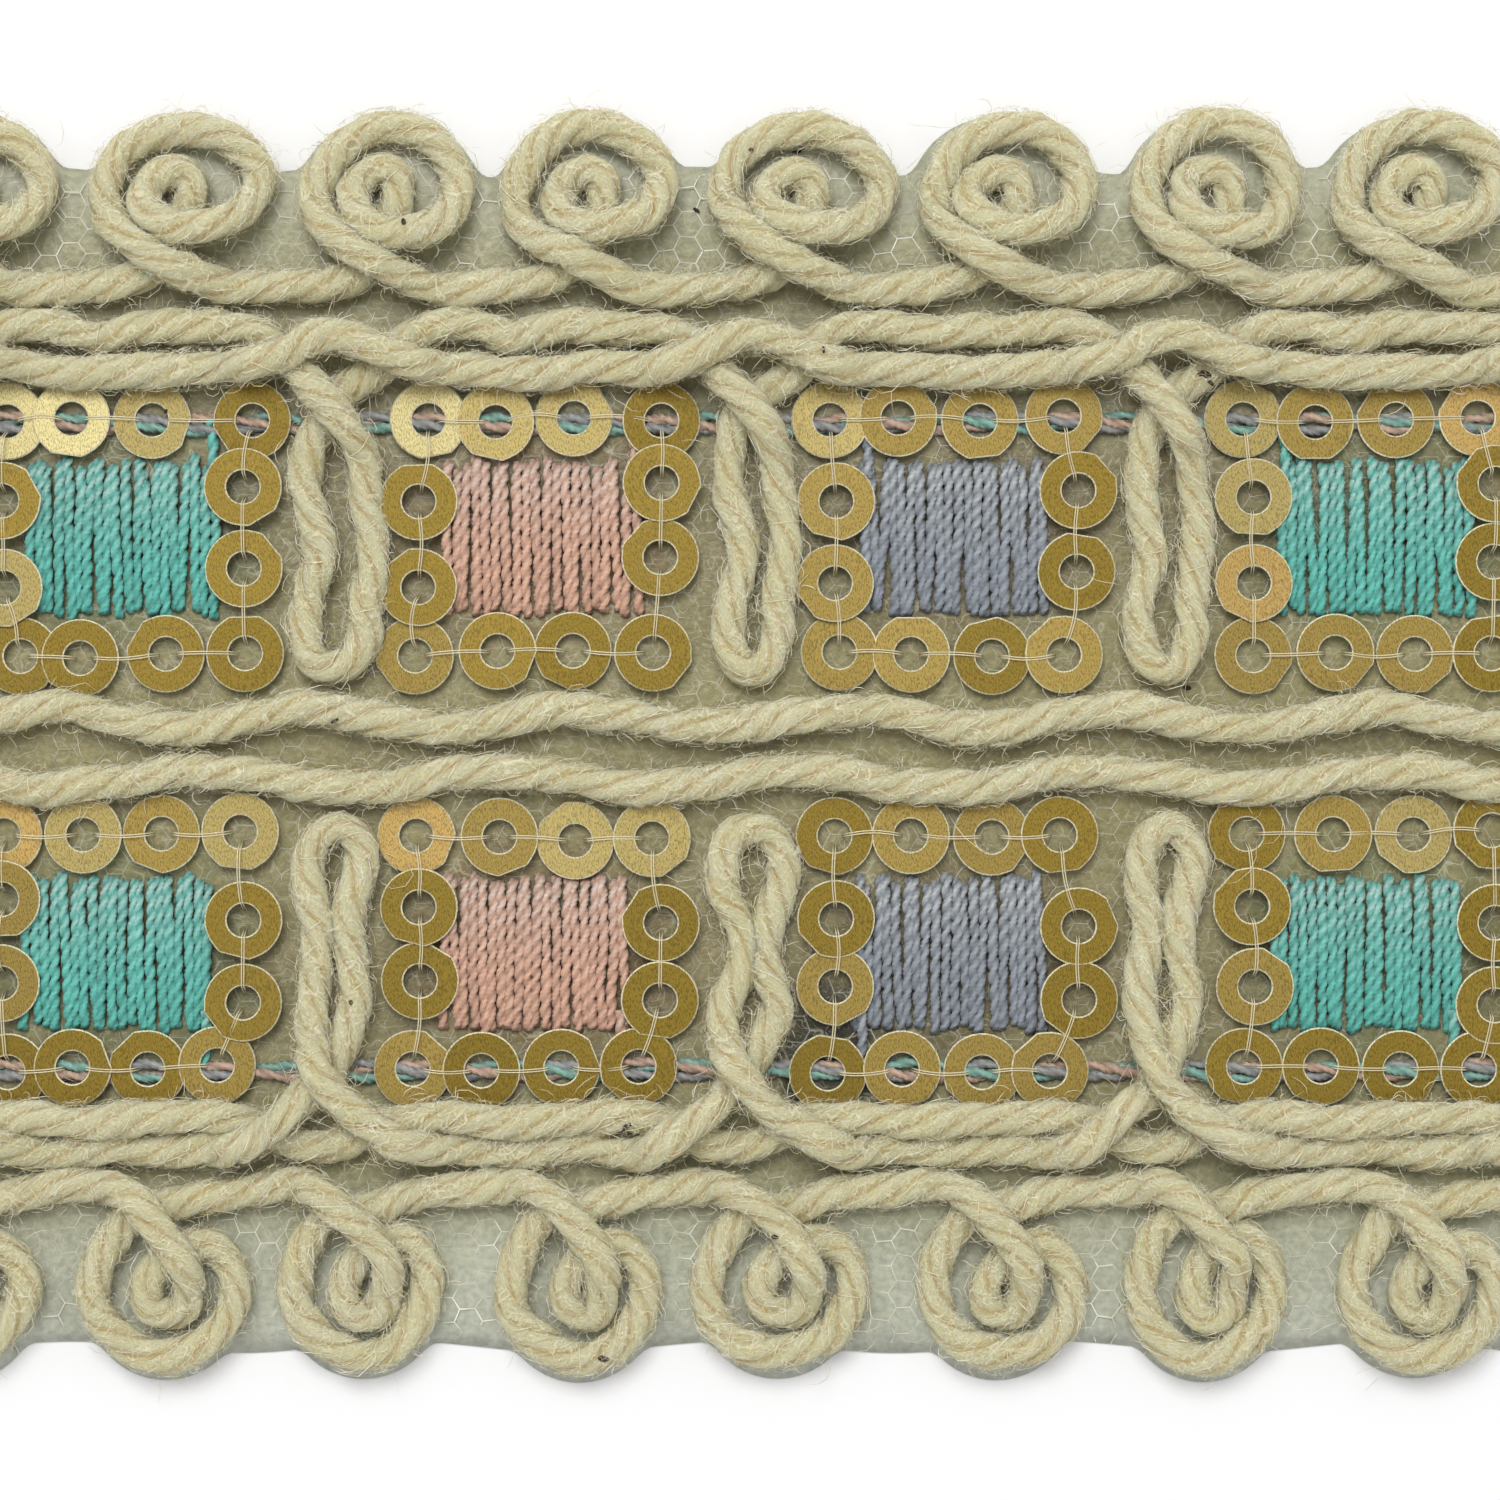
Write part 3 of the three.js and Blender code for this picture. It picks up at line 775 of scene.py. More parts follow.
# %% Yarn material
def yarn_material():
    material, tree, shader = new_material(
        "wool_yarn",
        Roughness=0.92,
        Sheen_Weight=0.25,
        Subsurface_Weight=0.6,
        Subsurface_Scale=0.9 * MM,
        Subsurface_Radius=(1.0, 0.8, 0.5),
    )
    streaks = place_group(tree, FIBRE_STREAKS, Across=7.0, Along=1.2, Skew=0.3)
    crossing = place_group(tree, FIBRE_STREAKS, Across=9.0, Along=1.6, Skew=-0.35)
    cream = place_clouds(tree, 330.0, paint(253, 254, 230), paint(244, 243, 206))
    first = place_mix(tree, streaks, (*paint(216, 206, 154), 1), cream)
    second = place_mix(tree, crossing, (0.8, 0.78, 0.7, 1), (1.0, 1.0, 1.0, 1))
    fibres = place_mix(tree, 1.0, first, second, "MULTIPLY")
    # painted shade: where the stored groove depth is deep, the colour turns ochre, for shade and the glow of
    # light through the wool
    crest = place_math(tree, "ADD", streaks, place_tone_and_painted_light(tree, "Fac"))
    colour = place_mix(tree, place_range(tree, crest, 0.1, 1.15), (*paint(196, 166, 92), 1), fibres)
    tree.links.new(colour, shader.inputs["Base Color"])
    heights = [group.node.outputs["Height"] for group in (streaks, crossing)]
    place_bump(tree, shader, place_math(tree, "ADD", *heights), 0.1)
    return material


def hair_material():
    material, tree, shader = new_material("wool_hair", Roughness=0.85, Sheen_Weight=0.3)
    colour = place_clouds(tree, 1400.0, paint(255, 253, 236), paint(214, 196, 140))
    tree.links.new(colour, shader.inputs["Base Color"])
    return material


def fuzz_material():
    material, tree, shader = new_material("wool_fuzz", Roughness=0.9, Sheen_Weight=0.3)
    colour = place_clouds(tree, 700.0, paint(250, 247, 222), paint(232, 222, 180))
    mist = place_group(tree, LOOSE_FIBRES, Scale=1100.0, Width=0.024, Strength=0.52)
    fill_inputs(tree, shader, {"Base Color": colour, "Alpha": mist})
    return material


YARN = yarn_material()
HAIR = hair_material()
FUZZ = fuzz_material()
print("yarn materials:", YARN.name, HAIR.name, FUZZ.name)

# %% [markdown]
# Wool is never clean at its edge. Hairs that are thick enough to see are modelled one by one, as
# thin tapering tubes. Some lie along the plies, and some wander off over the net. The rest would be
# far too many, so a see-through sleeve round each yarn carries them as a mask of curly lines.

# %% Thin tubes
HAIR_SIDES = 3


def thin_tubes(spine, out, thick, sides):
    """Rings round spines, an array of tube, step and place. Thick is the radius at each step."""
    ahead = np.gradient(spine, axis=1)
    ahead /= np.maximum(np.linalg.norm(ahead, axis=2), 1e-9)[..., None]
    side = np.cross(out, ahead)
    side /= np.maximum(np.linalg.norm(side, axis=2), 1e-9)[..., None]
    lift = np.cross(ahead, side)
    angle = (np.arange(sides) * TURN / sides)[:, None]
    ring = side[:, :, None] * np.cos(angle) + lift[:, :, None] * np.sin(angle)
    return spine[:, :, None] + ring * thick[..., None, None]


def hair_tubes(spine, out, radius):
    taper = np.clip(1.25 - np.abs(np.linspace(-1, 1, spine.shape[1])) ** 3, 0.25, 1)
    return thin_tubes(spine, out, radius[:, None] * taper, HAIR_SIDES)


print("a hair has", HAIR_SIDES, "sides")

# %% How hairs grow
LYING_STEPS = 4
STRAY_STEPS = 5


def lying_hairs(path, count):
    """Hairs that follow the plies, most of them close, some in a low arch or standing off."""
    t = np.linspace(0, 1, LYING_STEPS)[None]
    run = rng.uniform(0.6, 2.0, (count, 1))
    start = rng.uniform(0, path.length, (count, 1)) - run / 2
    along = np.clip(start + run * t, 0, path.length)
    drift = rng.normal(0, 0.5, (count, 1))
    phase = rng.uniform(0, TURN, (count, 1)) + drift * t + rng.normal(0, 0.12, (count, 1)) * np.sin(9 * t)
    arch = rng.gamma(1.5, 0.08, (count, 1)) * np.sin(math.pi * t)
    loose = np.where(rng.random((count, 1)) < 0.55, rng.gamma(1.5, 0.14, (count, 1)), 0)
    proud = -0.015 + arch + loose * t**2
    place, way = on_yarn(path, along, phase, proud, YARN_WIDTH, YARN_HEIGHT, PLIES, PLY_DEPTH)
    return place, way


def stray_hairs(path, count):
    """Hairs that leave the yarn sideways and wander over the net beside it."""
    t = np.linspace(0, 1, STRAY_STEPS)[None]
    along = rng.uniform(0, path.length, (count, 1))
    side = rng.choice([-1, 1], (count, 1))
    turn = np.where(side > 0, 0.0, math.pi) + rng.normal(0, 0.5, (count, 1))
    phase = turn - np.interp(along, path.along, path.twist)
    sunk = np.full((count, 1), -0.03)
    root, way = on_yarn(path, along, phase, sunk, YARN_WIDTH, YARN_HEIGHT, PLIES, PLY_DEPTH)
    reach = rng.gamma(2.0, 0.42, (count, 1))
    curl = rng.normal(0, 2.2, (count, 1))
    heading = rng.normal(0, 0.9, (count, 1)) + curl * t + rng.normal(0, 0.1, (count, STRAY_STEPS))
    step = reach[..., None] / STRAY_STEPS * np.ones((1, STRAY_STEPS, 1))
    ahead = np.cross(way, [0, 0, 1])
    move = way * np.cos(heading)[..., None] + ahead * np.sin(heading)[..., None]
    place = root + np.cumsum(move * step, axis=1)
    low = ground_height(place[..., 0], place[..., 1]) + 0.06
    sink = rng.uniform(-0.5, 0.25, (count, 1)) * t * reach
    place[..., 2] = np.maximum(place[..., 2] * 0.35 + root[..., 2] * 0.65 + sink, low)
    up = np.broadcast_to(np.array([0.0, 0, 1]), place.shape)
    return place, up


HairKind = namedtuple("HairKind", "name grow per_mm radius")
HAIR_KINDS = [
    HairKind("lying_hair", lying_hairs, 7, 0.021),
    HairKind("stray_hair", stray_hairs, 5, 0.016),
]
print("hairs for each millimetre of yarn:", sum(kind.per_mm for kind in HAIR_KINDS))

# %% Lay a yarn
FUZZ_REACH = 0.2
FUZZ_SIDES = 10


def lay_yarn(name, nodes, points):
    """A yarn along the points, and its hair, in place of the plain solids of those names."""
    path = make_path(points, YARN_STEP, PLY_PITCH, wander=0.09, uneven=YARN_UNEVEN)
    rings = yarn_rings(path, YARN_SIDES, YARN_WIDTH, YARN_HEIGHT, PLIES, PLY_DEPTH, uneven=0.03)
    steps = len(path.along)
    round_mm = math.pi * (YARN_WIDTH + YARN_HEIGHT) / 2
    uv = tube_uv(1, steps, YARN_SIDES, round_mm, path.along[None])
    # how far each side of the yarn lies from a groove, for the painted ochre groove shade
    crest = np.abs(np.sin(PLIES / 2 * np.arange(YARN_SIDES) * TURN / YARN_SIDES))
    dye = np.repeat(np.tile(crest, steps)[:, None], 3, 1)
    faces = tube_faces(1, steps, YARN_SIDES)
    yarn = make_piece(name, rings.reshape(-1, 3), faces, YARN, uv, dye)
    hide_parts(*nodes)
    wide, high = YARN_WIDTH + 2 * FUZZ_REACH, YARN_HEIGHT + 2 * FUZZ_REACH
    sleeve = yarn_rings(path, FUZZ_SIDES, wide, high, PLIES, PLY_DEPTH / 4, uneven=0.05)[::2]
    faces = tube_faces(1, len(sleeve), FUZZ_SIDES)
    make_piece(f"{name}_fuzz", sleeve.reshape(-1, 3), faces, FUZZ)
    for kind in HAIR_KINDS:
        spine, out = kind.grow(path, int(path.length * kind.per_mm))
        hair = hair_tubes(spine, out, kind.radius * rng.uniform(0.7, 1.3, len(spine)))
        faces = tube_faces(len(spine), spine.shape[1], HAIR_SIDES)
        make_piece(f"{name}_{kind.name}", hair.reshape(-1, 3), faces, HAIR)
    return path


print("the fuzz reaches", FUZZ_REACH, "mm past the yarn")

# %% [markdown]
# ## Rosettes on both edges
# Each edge is one long yarn. It runs in from the left, winds a rosette, and runs on to the next.
# Up at the upper edge the yarn goes in under its own coil, and down at the lower edge it goes in
# over it. A row is one bend: the first table in x, y and lift, the coil in turns, reach and lift.

# %% Rosette tables
UPPER_IN = [
    (-5.0, -5.1, FLAT),
    (-3.2, -4.9, FLAT),
    (-1.7, -4.45, FLAT),
    (-0.5, -3.4, FLAT),
    (0.25, -2.1, FLAT),
    (0.6, -0.8, FLAT),
]
UPPER_COIL = [
    (0.02, 0.65, FLAT),
    (0.18, 0.72, FLAT),
    (0.36, 1.0, FLAT),
    (0.5, 1.65, FLAT),
    (0.62, 2.05, RISING),
    (0.74, 2.25, OVER_ITSELF),
    (0.85, 2.7, OVER_ITSELF),
    (0.93, 3.5, RISING),
    (1.02, 3.85, FLAT),
    (1.12, 3.45, FLAT),
    (1.24, 3.1, FLAT),
    (1.36, 3.15, FLAT),
    (1.46, 3.5, FLAT),
    (1.54, 3.85, FLAT),
    (1.61, 3.7, RISING),
]
UPPER_OUT = [
    (-1.7, -3.2, OVER_ITSELF),
    (-0.4, -4.0, OVER_ITSELF),
    (1.0, -4.6, RISING),
    (2.6, -5.2, FLAT),
]
LOWER_IN = [
    (-4.6, -5.3, FLAT),
    (-3.3, -5.35, FLAT),
    (-2.1, -5.2, RISING),
    (-0.95, -4.5, OVER_ITSELF),
    (0.35, -3.0, OVER_ITSELF),
    (1.3, -1.6, OVER_ITSELF),
]
LOWER_COIL = [
    (0.0, 1.5, RISING / 2),
    (0.15, 1.45, FLAT),
    (0.32, 1.12, FLAT),
    (0.5, 0.8, FLAT),
    (0.66, 1.0, FLAT),
    (0.8, 2.2, FLAT),
    (0.88, 3.5, FLAT),
    (0.95, 3.9, FLAT),
    (1.03, 3.8, FLAT),
    (1.13, 3.5, FLAT),
    (1.24, 3.3, FLAT),
    (1.35, 3.35, FLAT),
    (1.45, 3.65, FLAT),
    (1.54, 3.75, FLAT),
    (1.63, 3.9, FLAT),
]
LOWER_OUT = [
    (-1.3, -4.0, FLAT),
    (0.6, -4.3, FLAT),
    (2.6, -4.85, FLAT),
]
ROSETTES = {
    "upper": (UPPER_EDGE, UPPER_IN, UPPER_COIL, UPPER_OUT),
    "lower": (LOWER_EDGE, LOWER_IN, LOWER_COIL, LOWER_OUT),
}
print("bends in an upper rosette:", len(UPPER_IN) + len(UPPER_COIL) + len(UPPER_OUT))

# %% Wind the edge cords
LOWER_NARROWING = 0.93


def trimmed(points):
    """The part of a route that lies on the strip, run out straight to both of its cut ends."""
    inside = [point for point in points if abs(point[0]) < END_X - 0.8]
    first = (-END_X, inside[0][1], inside[0][2])
    last = (END_X, inside[-1][1], inside[-1][2])
    return [first, *inside, last]


def edge_route(edge, coming_in, coil, going_out):
    route = []
    for number, centre in enumerate(rosette_centres(edge)):
        wound = []
        narrow = 1.0 if edge is UPPER_EDGE else LOWER_NARROWING
        squash = 0.06 * math.sin(1.7 * number + 0.8)
        swing = math.radians(7) * math.sin(2.9 * number)
        for turn, reach, lift in coil:
            reach *= 1 + 0.03 * math.sin(5 * turn + 2.1 * number)
            angle = TURN * turn + swing
            x = reach * math.cos(angle) * (1 + squash) * narrow
            y = reach * math.sin(angle) * (1 - squash)
            wound.append((x, y, lift))
        for x, y, lift in [*coming_in, *wound, *going_out]:
            route.append((centre + x, edge.y + edge.side * y, CORD_CENTRE + lift))
    return trimmed(route)


paths = {}
for side, (edge, coming_in, coil, going_out) in ROSETTES.items():
    route = edge_route(edge, coming_in, coil, going_out)
    paths[side + "_edge"] = lay_yarn(f"yarn_{side}_edge", [f"cord_{side}_edge"], route)
print("edge yarn:", [round(path.length) for path in paths.values()], "mm")

# %% [markdown]
# ## Looped and plain cords
# Each band is two yarns. One throws a long narrow loop towards the middle at every repeat, and
# the other runs beside it and swings aside where the loop crosses. The tables are for one repeat.
# No two loops of the real trim are alike, so each has its own width, lean and pinch.

# %% Band tables
FIRST_LOOP_X = -40.65
UPPER_LOOP = [
    (-7.5, 21.55, FLAT),
    (-5.0, 21.5, FLAT),
    (-3.6, 21.2, FLAT),
    (-2.4, 20.2, FLAT),
    (-1.35, 18.95, RISING),
    (-0.3, 17.8, OVER_ITSELF),
    (0.5, 16.5, OVER_ITSELF),
    (1.0, 15.0, RISING / 2),
    (1.2, 13.2, FLAT),
    (1.4, 11.2, FLAT),
    (1.3, 9.2, FLAT),
    (1.1, 7.4, FLAT),
    (1.1, 5.8, FLAT),
    (0.6, 4.5, FLAT),
    (-0.35, 4.1, FLAT),
    (-1.15, 4.7, FLAT),
    (-1.45, 6.2, FLAT),
    (-1.3, 8.0, FLAT),
    (-0.95, 9.8, FLAT),
    (-1.15, 11.8, FLAT),
    (-1.45, 13.8, FLAT),
    (-1.25, 15.6, FLAT),
    (-0.5, 17.1, FLAT),
    (0.6, 18.2, FLAT),
    (1.9, 19.1, FLAT),
    (3.1, 20.4, FLAT),
    (4.6, 21.4, FLAT),
    (7.2, 21.6, FLAT),
    (9.4, 21.15, FLAT),
    (11.6, 21.55, FLAT),
]
LOWER_LOOP = [
    (-7.6, -20.6, FLAT),
    (-5.6, -20.6, RISING / 2),
    (-4.4, -20.25, OVER_CORD),
    (-3.2, -19.4, OVER_CORD),
    (-2.2, -18.5, OVER_CORD),
    (-1.4, -17.8, RISING),
    (-0.7, -17.05, FLAT),
    (-0.05, -16.1, FLAT),
    (0.45, -14.8, FLAT),
    (0.95, -13.2, FLAT),
    (0.85, -11.5, FLAT),
    (0.6, -9.8, FLAT),
    (0.75, -8.1, FLAT),
    (1.2, -6.5, FLAT),
    (1.1, -5.0, FLAT),
    (0.3, -4.1, FLAT),
    (-0.7, -4.35, FLAT),
    (-1.3, -5.5, FLAT),
    (-1.45, -7.2, FLAT),
    (-1.2, -9.2, FLAT),
    (-1.3, -11.2, FLAT),
    (-1.45, -13.1, FLAT),
    (-1.3, -14.8, RISING / 2),
    (-0.8, -16.1, OVER_CORD),
    (-0.1, -17.2, OVER_CORD),
    (0.9, -18.3, OVER_CORD),
    (2.2, -19.25, OVER_CORD),
    (3.5, -20.0, OVER_CORD),
    (4.9, -20.5, RISING),
    (6.6, -20.6, FLAT),
]
UPPER_PLAIN = [
    (-7.6, 19.35, ON_SEQUIN),
    (-5.3, 19.45, ON_SEQUIN),
    (-3.8, 19.7, OVER_CORD),
    (-2.4, 20.15, OVER_CORD),
    (-1.1, 20.8, OVER_CORD),
    (0.2, 21.0, OVER_CORD),
    (1.5, 20.7, OVER_CORD),
    (2.8, 20.1, OVER_CORD),
    (4.1, 19.65, OVER_CORD),
    (5.8, 19.45, ON_SEQUIN),
    (8.4, 19.3, ON_SEQUIN),
    (11.0, 19.2, ON_SEQUIN),
]
LOWER_PLAIN = [
    (-7.9, -18.95, ON_SEQUIN),
    (-5.6, -18.9, ON_SEQUIN),
    (-3.9, -19.3, FLAT),
    (-2.4, -19.95, FLAT),
    (-0.8, -20.45, FLAT),
    (0.8, -20.2, FLAT),
    (2.2, -19.4, FLAT),
    (3.8, -19.1, RISING / 2),
    (6.0, -18.85, ON_SEQUIN),
    (8.6, -19.1, ON_SEQUIN),
    (11.2, -19.0, ON_SEQUIN),
]
print("bends in an upper loop:", len(UPPER_LOOP))

# %% Lay the bands
Uneven = namedtuple("Uneven", "width lean pinch")
UPPER_UNEVEN = [
    Uneven(1.0, 0.0, 0.0),
    Uneven(1.0, 0.0, 0.0),
    Uneven(1.26, 0.5, 0.1),
    Uneven(0.95, 0.5, 0.0),
    Uneven(1.1, 0.15, 0.1),
    Uneven(1.0, 0.0, 0.0),
]
LOWER_UNEVEN = [
    Uneven(1.0, 0.0, 0.0),
    Uneven(1.0, 0.0, 0.1),
    Uneven(0.95, 0.35, 0.1),
    Uneven(1.35, 0.45, 0.9),
    Uneven(1.0, 0.1, 0.1),
    Uneven(1.0, 0.0, 0.0),
]
LOOP_Y = 9.8
PINCH_Y = 10.4
PINCH_REACH = 2.2


def band_route(table, unevens):
    route = []
    for repeat, uneven in zip(range(-1, REPEATS + 1), unevens):
        for x, y, lift in table:
            in_loop = max(0.0, 1 - abs(abs(y) - LOOP_Y) / 7.5) ** 0.4 if abs(x) < 2 else 0.0
            near_pinch = math.exp(-(((abs(y) - PINCH_Y) / PINCH_REACH) ** 2))
            x *= 1 + in_loop * (uneven.width - 1 - uneven.pinch * near_pinch)
            x += uneven.lean * in_loop
            route.append((FIRST_LOOP_X + REPEAT * repeat + x, y, CORD_CENTRE + lift))
    return trimmed(route)


EVEN = [Uneven(1.0, 0.0, 0.0)] * (REPEATS + 2)
BANDS = [
    ("upper_looped", UPPER_LOOP, UPPER_UNEVEN),
    ("upper_plain", UPPER_PLAIN, EVEN),
    ("lower_plain", LOWER_PLAIN, EVEN),
    ("lower_looped", LOWER_LOOP, LOWER_UNEVEN),
]
for label, table, unevens in BANDS:
    paths[label] = lay_yarn(f"yarn_{label}", [f"cord_{label}"], band_route(table, unevens))

Wave = namedtuple("Wave", "name y swing wave crest_x")
for cord in (Wave("upper", 1.5, 0.5, 13.6, -6.5), Wave("lower", -1.6, 0.45, 15.2, -10.6)):
    xs = np.linspace(-END_X, END_X, 32)
    ys = cord.y + cord.swing * np.cos(TURN * (xs - cord.crest_x) / cord.wave)
    route = [(x, y, CORD_CENTRE + ON_SEQUIN * 0.4) for x, y in zip(xs, ys)]
    paths[cord.name + "_middle"] = lay_yarn(f"yarn_{cord.name}_middle", [f"cord_{cord.name}_middle"], route)
lengths = {label: round(path.length) for label, path in paths.items()}
print("millimetres of yarn:", lengths, "and in all", sum(lengths.values()))

# %% [markdown]
# ## Straight-stitch blocks
# A block is about twenty stitches of a glossy two-ply thread. Each stitch comes up through the
# net, arches over it and goes down again. Every thread is its own twisted tube, with its own
# length, lean and height, and one thread of each block leads on under the sequins.

# %% Thread material
def thread_material():
    material, tree, shader = new_material("rayon_thread", Roughness=0.34, Sheen_Weight=0.2)
    streaks = place_group(tree, FIBRE_STREAKS, Across=11.0, Along=2.2, Skew=0.2)
    dye = place_tone_and_painted_light(tree)
    deep = place_mix(tree, 1.0, dye, (0.5, 0.5, 0.5, 1), "MULTIPLY")
    tree.links.new(place_mix(tree, streaks, deep, dye), shader.inputs["Base Color"])
    place_bump(tree, shader, streaks.node.outputs["Height"], 0.03, 0.7)
    return material


THREAD = thread_material()
DYES = {
    "teal": paint(112, 222, 206),
    "pink": paint(255, 202, 172),
    "lavender": paint(170, 178, 188),
}
print("dyes:", list(DYES))

# %% Two-ply thread
THREAD_WIDTH = 0.6
THREAD_HEIGHT = 0.46
THREAD_PITCH = 1.6
THREAD_SIDES = 8
THREAD_STEP = 0.22
THREAD_DEPTH = 0.32
# GLEAM is the strength of the painted highlight on the thread crests
GLEAM = 0.6
GLEAM_COLOUR = np.array(paint(236, 238, 232))
STITCH_STEPS_AT_MOST = 60


def thread_tube(points, pitch=THREAD_PITCH, hand=1, step=THREAD_STEP):
    path = make_path(points, step, pitch, wander=0.02, wave=2.5, hand=hand, uneven=0.06)
    rings = yarn_rings(path, THREAD_SIDES, THREAD_WIDTH, THREAD_HEIGHT, 2, THREAD_DEPTH)
    return rings, path.along


def ply_shades(colour, steps, sides, gleam):
    """A colour for each point of a two-ply thread, painted darker in the groove between the plies
    as painted shade.

    The gleam is a painted highlight: a pale sheen on the crests, strongest where the stitch starts,
    at the end towards the lamp.
    """
    crest = np.abs(np.sin(np.arange(sides) * TURN / sides))
    shade = np.tile(0.58 + 0.46 * crest, steps)[:, None]
    fading = np.clip(1.15 - 1.5 * np.linspace(0, 1, steps), 0.1, 1) ** 1.5
    sheen = gleam * np.outer(fading, crest**3).reshape(-1, 1)
    return np.asarray(colour) * shade * (1 - sheen) + sheen * GLEAM_COLOUR


print("a thread is", THREAD_WIDTH, "mm thick and turns once in", THREAD_PITCH, "mm")

# %% Join threads and their loose fibres
THREAD_HAIRS_PER_MM = 1.4
THREAD_HAIR_RADIUS = 0.013


def thread_hairs(rings, along):
    """Short loose fibres that stand off a thread's skin and lie mostly along it."""
    count = int(along[-1] * THREAD_HAIRS_PER_MM)
    start = rng.integers(0, len(rings) - 3, count)
    middle = rings.mean(1)
    side = rng.integers(0, rings.shape[1], count)
    out = rings[start, side] - middle[start]
    out /= np.linalg.norm(out, axis=1)[:, None]
    t = np.linspace(0, 1, 3)[None, :, None]
    ahead = middle[start + 2] - middle[start]
    run = rng.uniform(0.6, 1.6, (count, 1, 1))
    lean = rng.normal(0, 0.16, (count, 1, 3)) * [1, 1, 0]
    spine = rings[start, side][:, None] + (ahead[:, None] * run + lean) * t
    spine = spine + out[:, None] * rng.gamma(1.5, 0.06, (count, 1, 1)) * t
    radius = THREAD_HAIR_RADIUS * rng.uniform(0.7, 1.3, count)
    return hair_tubes(spine, np.broadcast_to(out[:, None], spine.shape), radius)


def join_threads(name, tubes, material):
    """One object from (rings, distances, colour) for each thread."""
    points, faces, uvs, colours, count = [], [], [], [], 0
    for rings, along, colour in tubes:
        steps, sides = rings.shape[:2]
        faces += tube_faces(1, steps, sides, count)
        uvs.append(tube_uv(1, steps, sides, math.pi * THREAD_WIDTH, along[None] + rng.uniform(0, 50)))
        points.append(rings.reshape(-1, 3))
        colours.append(ply_shades(colour, steps, sides, GLEAM if steps < STITCH_STEPS_AT_MOST else 0))
        count += steps * sides
        hair = thread_hairs(rings, along)
        faces += tube_faces(len(hair), 3, HAIR_SIDES, count)
        uvs.append(tube_uv(len(hair), 3, HAIR_SIDES, 0.1, np.tile([[0.0, 0.2, 0.4]], (len(hair), 1))))
        points.append(hair.reshape(-1, 3))
        colours.append(np.broadcast_to(np.array(colour) * 1.15, (hair.size // 3, 3)))
        count += hair.size // 3
    uv = np.concatenate(uvs)
    return make_piece(name, np.concatenate(points), faces, material, uv, np.concatenate(colours))


print("loose fibres for each millimetre of thread:", THREAD_HAIRS_PER_MM)

# %% Work the blocks
THREADS_IN_BLOCK = 20
STITCH_ARCH = 0.42
THREAD_COLOURS = ("teal", "pink", "lavender", "teal")

Block = namedtuple("Block", "row number left right far near lead")
BLOCKS = [
    Block("upper", 1, -5.0, 4.85, 3.8, -3.9, 1),
    Block("upper", 2, -5.0, 5.1, 3.8, -3.9, 1),
    Block("upper", 3, -4.9, 4.6, 3.8, -3.9, -1),
    Block("upper", 4, -4.85, 5.1, 3.8, -3.9, -1),
    Block("lower", 1, -5.2, 4.5, 3.7, -4.0, 1),
    Block("lower", 2, -5.1, 4.4, 3.7, -4.0, 1),
    Block("lower", 3, -5.2, 4.5, 3.7, -4.0, -1),
    Block("lower", 4, -5.3, 4.4, 3.7, -4.0, 1),
]


def stitch(x_far, x_near, far, near):
    """One stitch: up out of the net at its far end, over, and down at its near end."""
    bed = BED + 0.1
    share = np.array([0.0, 0.05, 0.16, 0.45, 0.75, 0.92, 1.0])
    lift = np.array([-0.25, 0.3, 0.95, 1.0, 0.75, 0.25, -0.25]) * STITCH_ARCH
    x = x_far + (x_near - x_far) * share + rng.normal(0, 0.035, len(share))
    y = far + (near - far) * share
    return np.stack([x, y, bed + 0.12 + lift * rng.uniform(0.85, 1.15)], 1)


def centre_of(node):
    low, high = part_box(node)
    return ((low + high) / 2) / MM


for block in BLOCKS:
    node = f"stitches_{block.row}_{block.number}"
    middle = centre_of(node)
    colour = THREAD_COLOURS[block.number - 1]
    spread = np.linspace(block.left + 0.2, block.right - 0.2, THREADS_IN_BLOCK)
    tubes = []
    for number, offset in enumerate(spread):
        bunch = 0.13 * math.sin(number * 2.4 + block.number)
        x_far = middle.x + offset + bunch + rng.normal(0, 0.07)
        x_near = middle.x + offset - bunch + rng.normal(0, 0.09)
        far = middle.y + block.far + 0.18 * math.sin(number * 1.9 + block.number) + rng.normal(0, 0.13)
        near = middle.y + block.near + 0.14 * math.sin(number * 1.3) + rng.normal(0, 0.1)
        rings, along = thread_tube(stitch(x_far, x_near, far, near))
        shade = rng.uniform(0.9, 1.06)
        tubes.append((rings, along, np.array(DYES[colour]) * shade))
    side = 1 if block.row == "upper" else -1
    corner = middle.x + (block.right - 0.3 if block.lead > 0 else block.left + 0.3)
    reach = middle.y + side * np.array([3.0, 4.0, 5.0, 6.0])
    lead = np.stack([corner + np.array([0, 0.05, 0.0, -0.2]), reach, [1.5, 1.3, 1.15, 1.1]], 1)
    rings, along = thread_tube(lead)
    tubes.append((rings, along, np.array(DYES[colour])))
    piece = join_threads(f"threads_{block.row}_{block.number}", tubes, THREAD)
    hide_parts(node)
lengths = [along[-1] for rings, along, colour in tubes[:-1]]
print("stitched blocks:", len(BLOCKS), "and a stitch is about", round(np.mean(lengths), 1), "mm long")

# %% Jump threads
JUMP_TWIST = 11.0
JUMP_LINES = {"upper": 16.67, "lower": -16.6}
STRAND_SPREAD = 0.34
HAZE = 0.48
HAZE_COLOUR = paint(182, 174, 158)


